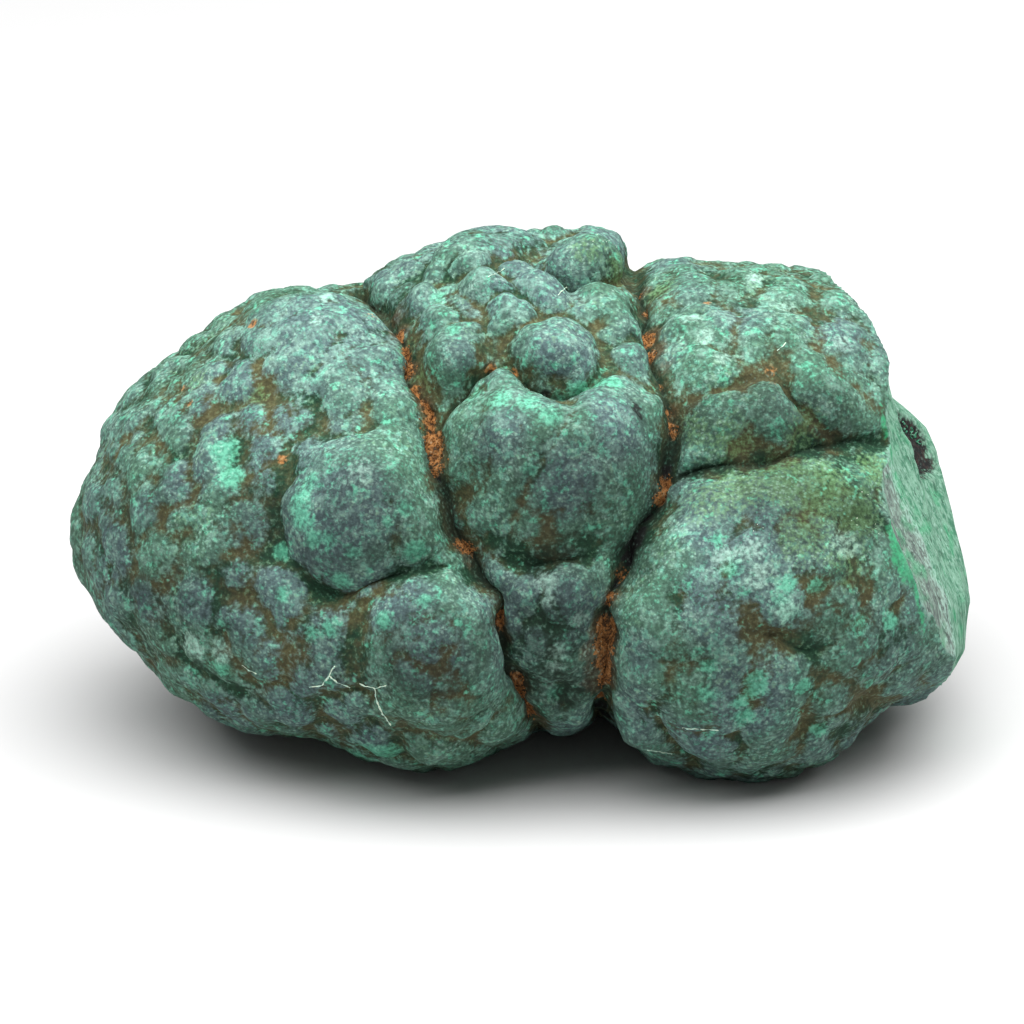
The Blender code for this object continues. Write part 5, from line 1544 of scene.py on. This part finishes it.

# %% [markdown]
# ## The whole skin
# The layers go on in the order in which the stone got them: film and crust, the crusts and stains
# of one place, loose light specks, and then the break. The crust covers what isn't a hollow. What
# faces up is a little lighter and what faces down darker, partly for the dust on what faces up and
# partly as painted light and shade from above. The deep marks paint shade too. A green rim follows
# the edge of the break, and a painted highlight runs along that edge.

# %% Skin material
def finish_skin(material):
    """Every layer of the stone's skin and its break, in one material."""
    f = Finish(material, 0.85, 0.08)
    blot = f.noise(f.mm, 3.4, 3.0, 0.55, 0.3)
    cover = f.add(f.times(f.mark("wide_hollow"), -0.8), f.times(f.mark("fine_hollow"), -0.4),
                  f.times(f.mark("dust"), 0.5), f.times(f.mark("olive"), -0.7),
                  f.times(f.mark("green"), -0.6), f.swing(blot, 1.6),
                  f.times(f.mark("beside"), -0.55))
    grain = f.grain(1.0, f.ease(cover, -0.5, 0.5))
    tone, clump = grain["Tone"], grain["Clump"]
    ragged = f.add(f.swing(clump, 1.8), f.swing(tone, 0.8))
    cover = f.ease(f.add(cover, ragged), -0.65, 0.5)
    colour = film_and_crust(f, blot, grain, cover)
    colour = crusts_and_stains(f, colour, blot, grain, cover)
    specks = f.mix(f.ease(blot, 0.42, 0.58), COLOUR["mint"], COLOUR["frost"])
    colour = f.mix(f.times(grain["Specks"], f.ease(cover, 0.0, 1.0, 0.16, 0.28)), colour, specks)
    # painted light and shade: lighter where facing up (also dust), darker on the deep marks
    painted_light_dust_and_tone = f.times(f.ease(f.mark("facing"), -0.1, 0.85, 0.76, 1.12),
                     f.ease(f.mark("deep"), 0.0, 0.8, 1.0, 0.55))
    painted_light_dust_and_tone = f.times(painted_light_dust_and_tone, f.ease(tone, 0.0, 1.0, 0.6, 1.4))
    colour = f.mix(1.0, colour, painted_light_dust_and_tone, "MULTIPLY")
    broken = f.math("SUBTRACT", 1.0, f.mark("skin"))
    edge = f.add(f.math("ABSOLUTE", f.add(broken, -0.5)), f.swing(tone, -0.5))
    colour = f.mix(f.ease(f.add(broken, f.swing(tone, 0.3)), 0.4, 0.6), colour,
                   break_colour(f, blot, grain))
    # painted highlight: a pale line along the break's edge, where its rim catches the light
    colour = f.mix(f.ease(edge, 0.45, 0.1, 0.0, 0.4), colour, COLOUR["light"])
    leaf = f.times(f.ease(f.mark("leaf"), 0.0, 0.5), f.mark("brink"))
    leaf = f.patch(leaf, tone, clump, 0.55, 0.4)
    colour = f.mix(f.times(leaf, f.ease(tone, 0.0, 1.0, 0.4, 0.8)), colour, COLOUR["leaf"])
    f.coat(colour, f.add(grain["Height"], f.times(clump, 0.5)))


finish_skin(skin_material)
print("skin material:", len(skin_material.node_tree.nodes), "nodes")

# %% [markdown]
# ## Loose grains
# Three things on the stone are loose grains: rust-coloured clay crumbs in the creases, thickest
# between the heart and the right lobes; dark green crystals in the pit; and a few glassy ones whose
# near-white colour paints a glint. One geometry tree scatters them all. Its density follows a mark
# on the mesh, so grains and stain agree, and each is a 20-faced ball, stretched, turned at random
# and half sunk.

# %% Scatter tree
def scatter_tree():
    tree = bpy.data.node_groups.new("scattered grains", "GeometryNodeTree")
    new_sockets(tree, [
        ("Geometry", "Geometry", None), ("Mark", "String", "clay"), ("Threshold", "Float", 0.35),
        ("Density", "Float", 1.0), ("Smallest", "Vector", None), ("Largest", "Vector", None),
        ("Seed", "Int", 1), ("Material", "Material", None),
    ], [("Geometry", "Geometry")])
    w = Wiring(tree)
    given = w.node("NodeGroupInput").outputs
    mark = w.node("GeometryNodeInputNamedAttribute", {"Name": given["Mark"]},
                  data_type="FLOAT").outputs[0]
    at = w.vector("SCALE", w.node("GeometryNodeInputPosition").outputs[0], scale=1000.0)
    share = w.add(mark, w.times(w.math("SUBTRACT", w.noise(at, 1.1, 2.0), 0.5), 0.9))
    share = w.ease(share, given["Threshold"], w.math("ADD", given["Threshold"], 0.3))
    points = w.node("GeometryNodeDistributePointsOnFaces", {
        "Mesh": given["Geometry"], "Density": w.times(share, given["Density"]),
        "Seed": given["Seed"],
    }).outputs["Points"]
    grain = w.node("GeometryNodeMeshIcoSphere", {"Radius": 1.0, "Subdivisions": 1}).outputs[0]

    def drawn(low, high):
        return w.node("FunctionNodeRandomValue", {"Min": low, "Max": high, "Seed": given["Seed"]},
                      data_type="FLOAT_VECTOR").outputs[0]

    placed = w.node("GeometryNodeInstanceOnPoints", {
        "Points": points, "Instance": grain, "Rotation": drawn((0, 0, 0), (6.28, 6.28, 6.28)),
        "Scale": drawn(given["Smallest"], given["Largest"]),
    }).outputs[0]
    whole = w.node("GeometryNodeRealizeInstances", {"Geometry": placed}).outputs[0]
    done = w.node("GeometryNodeSetMaterial", {"Geometry": whole, "Material": given["Material"]})
    w.node("NodeGroupOutput", {"Geometry": done.outputs[0]})
    return tree


SCATTER = scatter_tree()
print("scatter tree:", len(SCATTER.nodes), "nodes")

# %% [markdown]
# ## Clay, crystals and glints
# The three kinds differ only in their mark, their crowding and their size. Clay crumbs are round
# and close together, the crystals of the pit are long, and the clear ones are tiny and few. Sizes
# are in metres here, and the density is in grains for each square metre.

# %% Scattered grains
clay_material = bpy.data.materials.new("rust clay")
crystal_material = bpy.data.materials.new("green crystal")
glint_material = bpy.data.materials.new("crystal with painted glint")
crumbs = run_tree(mesh, "clay_crumbs", SCATTER, **{
    "Mark": "clay", "Threshold": 0.42, "Density": 1.8e7, "Smallest": (4e-5, 4e-5, 4e-5),
    "Largest": (1.3e-4, 1.3e-4, 1.3e-4), "Seed": 11, "Material": clay_material,
})
crystals = run_tree(mesh, "pit_crystals", SCATTER, **{
    "Mark": "crystal", "Threshold": 0.35, "Density": 1.4e7, "Smallest": (6e-5, 6e-5, 1.2e-4),
    "Largest": (1.4e-4, 1.4e-4, 4e-4), "Seed": 12, "Material": crystal_material,
})
glints = run_tree(mesh, "clear_crystals", SCATTER, **{
    "Mark": "painted_glint", "Threshold": 0.35, "Density": 1.6e6, "Smallest": (3e-5, 3e-5, 3e-5),
    "Largest": (6e-5, 6e-5, 6e-5), "Seed": 13, "Material": glint_material,
})
print("grains, in faces:", [len(thing.data.polygons) for thing in (crumbs, crystals, glints)])

# %% [markdown]
# ## Their finishes
# Clay is dull and crumbly: two browns, with lighter specks. The crystals are the same mineral as
# the stone, but clean and smooth, so they are darker and shine. The glinting ones are near-white
# and smoother still: their real shine plus a painted glint in their colour. The grain group serves
# all three, at a smaller size than on the skin.

# %% Grain finishes
def finish_clay(material):
    f = Finish(material, 0.95, 0.05)
    grain = f.grain(0.8)
    colour = f.mix(f.noise(f.mm, 1.3, 2.0), COLOUR["dark clay"], COLOUR["clay"])
    colour = f.mix(f.ease(grain["Tone"], 0.5, 0.15, 0.0, 0.7), colour, COLOUR["dark clay"])
    colour = f.mix(f.times(grain["Specks"], 0.4), colour, COLOUR["crumb"])
    f.coat(colour, grain["Height"])


def finish_crystal(material, name, roughness):
    f = Finish(material, roughness, 0.02)
    grain = f.grain(0.5)
    colour = f.mix(f.ease(grain["Tone"], 0.3, 0.8, 0.0, 0.5), COLOUR[name], COLOUR["mint"])
    f.shader.inputs["Specular IOR Level"].default_value = 0.6
    f.coat(colour, grain["Height"])


finish_clay(clay_material)
finish_crystal(crystal_material, "crystal", 0.3)
finish_crystal(glint_material, "painted_glint", 0.15)
print("grains finished: clay, green crystal, crystal with painted glint")

# %% [markdown]
# ## Pale threads
# Two fine white cracks with crumbly mineral in them cross the lower left lobe, and a few short
# pale scratches lie elsewhere. Each is a row of places on the surface, set so closely that the
# thread follows every knob it crosses. As a painted line it would be no sharper than the mesh.

# %% Thread paths
# Each as its thickness in millimetres, then its places across and up the face.
THREADS = [
    (0.13, [(-18.1, -15.3), (-17.0, -15.1), (-16.4, -14.3), (-15.8, -14.9), (-14.7, -15.3)]),
    (0.15, [(-13.9, -15.0), (-12.6, -15.4), (-12.4, -16.6), (-11.9, -17.6), (-11.3, -18.5)]),
    (0.10, [(-12.6, -15.4), (-11.6, -15.1)]), (0.10, [(-16.4, -14.3), (-16.0, -13.5)]),
    (0.12, [(2.7, 17.6), (3.5, 18.4)]), (0.10, [(-3.2, 19.1), (-1.7, 19.9)]),
    (0.10, [(10.2, -20.6), (12.3, -21.0)]), (0.10, [(13.1, -18.7), (16.1, -18.9)]),
    (0.08, [(21.1, 12.9), (21.9, 13.6)]), (0.08, [(-23.8, -13.5), (-22.6, -14.2)]),
]
THREAD_STEP = 0.12     # spacing of the points along a thread


def thread_rows():
    """A mesh of bare edges: each thread's places, set closely along the stone's surface."""
    points, edges, sizes = [], [], []
    for thickness, line in THREADS:
        line = np.array(line)
        stations = np.concatenate([[0], np.cumsum(np.hypot(*np.diff(line, axis=0).T))])
        at = np.linspace(0, stations[-1], int(stations[-1] / THREAD_STEP) + 2)
        first = len(points)
        for a, b in zip(np.interp(at, stations, line[:, 0]), np.interp(at, stations, line[:, 1])):
            place, normal = touch(a, b)
            points.append(place + normal * 0.00002)
            sizes.append(thickness / 2000)
        edges += [(k, k + 1) for k in range(first, len(points) - 1)]
    made = bpy.data.meshes.new("thread_rows")
    made.from_pydata([tuple(point) for point in points], edges, [])
    put(made, "size", sizes)
    return made


rows = thread_rows()
print("threads:", len(THREADS), "with", len(rows.vertices), "points")

# %% [markdown]
# ## Threads as thin tubes
# A geometry tree turns the rows into tubes, so one recipe serves every thread. Noise sways each
# tube a little and makes it thicker and thinner on its way, as crumbly mineral in a crack is.

# %% Thread tree
def thread_tree():
    tree = bpy.data.node_groups.new("pale threads", "GeometryNodeTree")
    new_sockets(tree, [
        ("Geometry", "Geometry", None), ("Sway", "Float", 0.0002), ("Material", "Material", None),
    ], [("Geometry", "Geometry")])
    w = Wiring(tree)
    given = w.node("NodeGroupInput").outputs
    at = w.vector("SCALE", w.node("GeometryNodeInputPosition").outputs[0], scale=1000.0)
    size = w.node("GeometryNodeInputNamedAttribute", {"Name": "size"}, data_type="FLOAT").outputs[0]
    sway = w.sway(at, 1.6, given["Sway"])
    curve = w.node("GeometryNodeMeshToCurve", {0: given["Geometry"]}).outputs[0]
    moved = w.node("GeometryNodeSetPosition", {"Geometry": curve, "Offset": sway}).outputs[0]
    radius = w.times(size, w.ease(w.noise(at, 0.35, 1.0), 0.3, 0.7, 0.3, 1.5))
    sized = w.node("GeometryNodeSetCurveRadius", {"Curve": moved, "Radius": radius}).outputs[0]
    ring = w.node("GeometryNodeCurvePrimitiveCircle", {"Resolution": 6, "Radius": 1.0}).outputs[0]
    tube = w.node("GeometryNodeCurveToMesh", {
        "Curve": sized, "Profile Curve": ring, "Fill Caps": True,
        "Scale": w.node("GeometryNodeInputRadius").outputs[0],
    }).outputs[0]
    whole = w.node("GeometryNodeRealizeInstances", {"Geometry": tube}).outputs[0]
    done = w.node("GeometryNodeSetMaterial", {"Geometry": whole, "Material": given["Material"]})
    w.node("NodeGroupOutput", {"Geometry": done.outputs[0]})
    return tree


thread_material = bpy.data.materials.new("pale thread")
threads = run_tree(rows, "pale_threads", thread_tree(), **{
    "Sway": 0.0003, "Material": thread_material,
})


def finish_thread(material):
    f = Finish(material, 0.9, 0.03)
    grain = f.grain(0.6)
    colour = f.mix(f.ease(grain["Tone"], 0.3, 0.7), COLOUR["frost"], COLOUR["thread"])
    f.coat(colour, grain["Height"])


finish_thread(thread_material)
print("thread material:", len(thread_material.node_tree.nodes), "nodes")

# %% [markdown]
# ## Riding and standing in
# The dense stone stands for the imported solid, which stays for collision only, hidden. Everything
# here is one stone, so all of it rides on the root.

# %% Pieces on the frame
for piece in (stone, crumbs, crystals, glints, threads):
    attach(piece, "root")
    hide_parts("malachite_stone")
    print(piece.name, "rides on the root:", len(piece.data.polygons), "faces")

# %% [markdown]
# ## The table
# The stone stands on a plain white table that is far larger than the view, so it has no edge or
# horizon in sight. It is only a stage and no part of the stone.

# %% Table
def white_table():
    made = bpy.data.meshes.new("table")
    half = 4.0
    corners = [(-half, -half, 0), (half, -half, 0), (half, half, 0), (-half, half, 0)]
    made.from_pydata(corners, [], [(0, 1, 2, 3)])
    table = bpy.data.objects.new("table", made)
    bpy.context.scene.collection.objects.link(table)
    white = bpy.data.materials.new("white table")
    white.use_nodes = True
    shader = white.node_tree.nodes["Principled BSDF"]
    shader.inputs["Base Color"].default_value = (0.6, 0.6, 0.6, 1)
    shader.inputs["Roughness"].default_value = 0.9
    shader.inputs["Specular IOR Level"].default_value = 0.0
    made.materials.append(white)
    return table


print("stands on:", white_table().name)

# %% [markdown]
# ## The light
# One large soft light hangs above and a little in front, and a white room fills in from all
# sides. So the shadow is soft and stays close to the stone's foot. A small lamp would cast a hard
# one, and would leave the creases black.

# %% Light
scene = bpy.context.scene


def soft_light(name, place, aim, size, power):
    """A rectangular soft light, with its width and its length from front to back in metres."""
    light = bpy.data.lights.new(name, "AREA")
    light.shape = "RECTANGLE"
    light.size, light.size_y = size
    light.energy = power
    lamp = bpy.data.objects.new(name, light)
    scene.collection.objects.link(lamp)
    lamp.location = place
    lamp.rotation_euler = (Vector(aim) - Vector(place)).to_track_quat("-Z", "Y").to_euler()
    return lamp


soft_light("softbox", (0.02, -0.06, 0.40), (0, 0, 0), (0.9, 0.5), 6.2)
world = bpy.data.worlds.new("white room")
world.use_nodes = True
world.node_tree.nodes["Background"].inputs["Color"].default_value = (1, 1, 1, 1)
world.node_tree.nodes["Background"].inputs["Strength"].default_value = 0.24
scene.world = world
scene.view_settings.view_transform = "Standard"

# %% [markdown]
# ## The camera
# The camera looks straight at the best face, along the axis that points out of it, from a metre
# away. From so far it hardly distorts the stone. Its lens follows from the scale of the view.

# %% Camera
MM_PER_PIXEL = 0.085   # the scale of the view at the stone
VIEW_WIDTH = 1024      # pixels
SENSOR = 36            # the width of the camera's sensor, in millimetres
AIM = (-1.1475, -0.6375, 0.0)    # the middle of the view, in the face's axes
DISTANCE = 1.0         # metres from the stone to the camera
camera = bpy.data.objects.new("camera", bpy.data.cameras.new("camera"))
scene.collection.objects.link(camera)
camera.location = in_world(np.array(AIM)) + OUT * DISTANCE
camera.rotation_euler = (math.radians(90 - LEAN), 0, 0)
camera.data.sensor_width = SENSOR
camera.data.lens = SENSOR * DISTANCE * 1000 / (VIEW_WIDTH * MM_PER_PIXEL)
camera.data.clip_end = 20
scene.camera = camera
print("lens, mm:", round(camera.data.lens, 1))
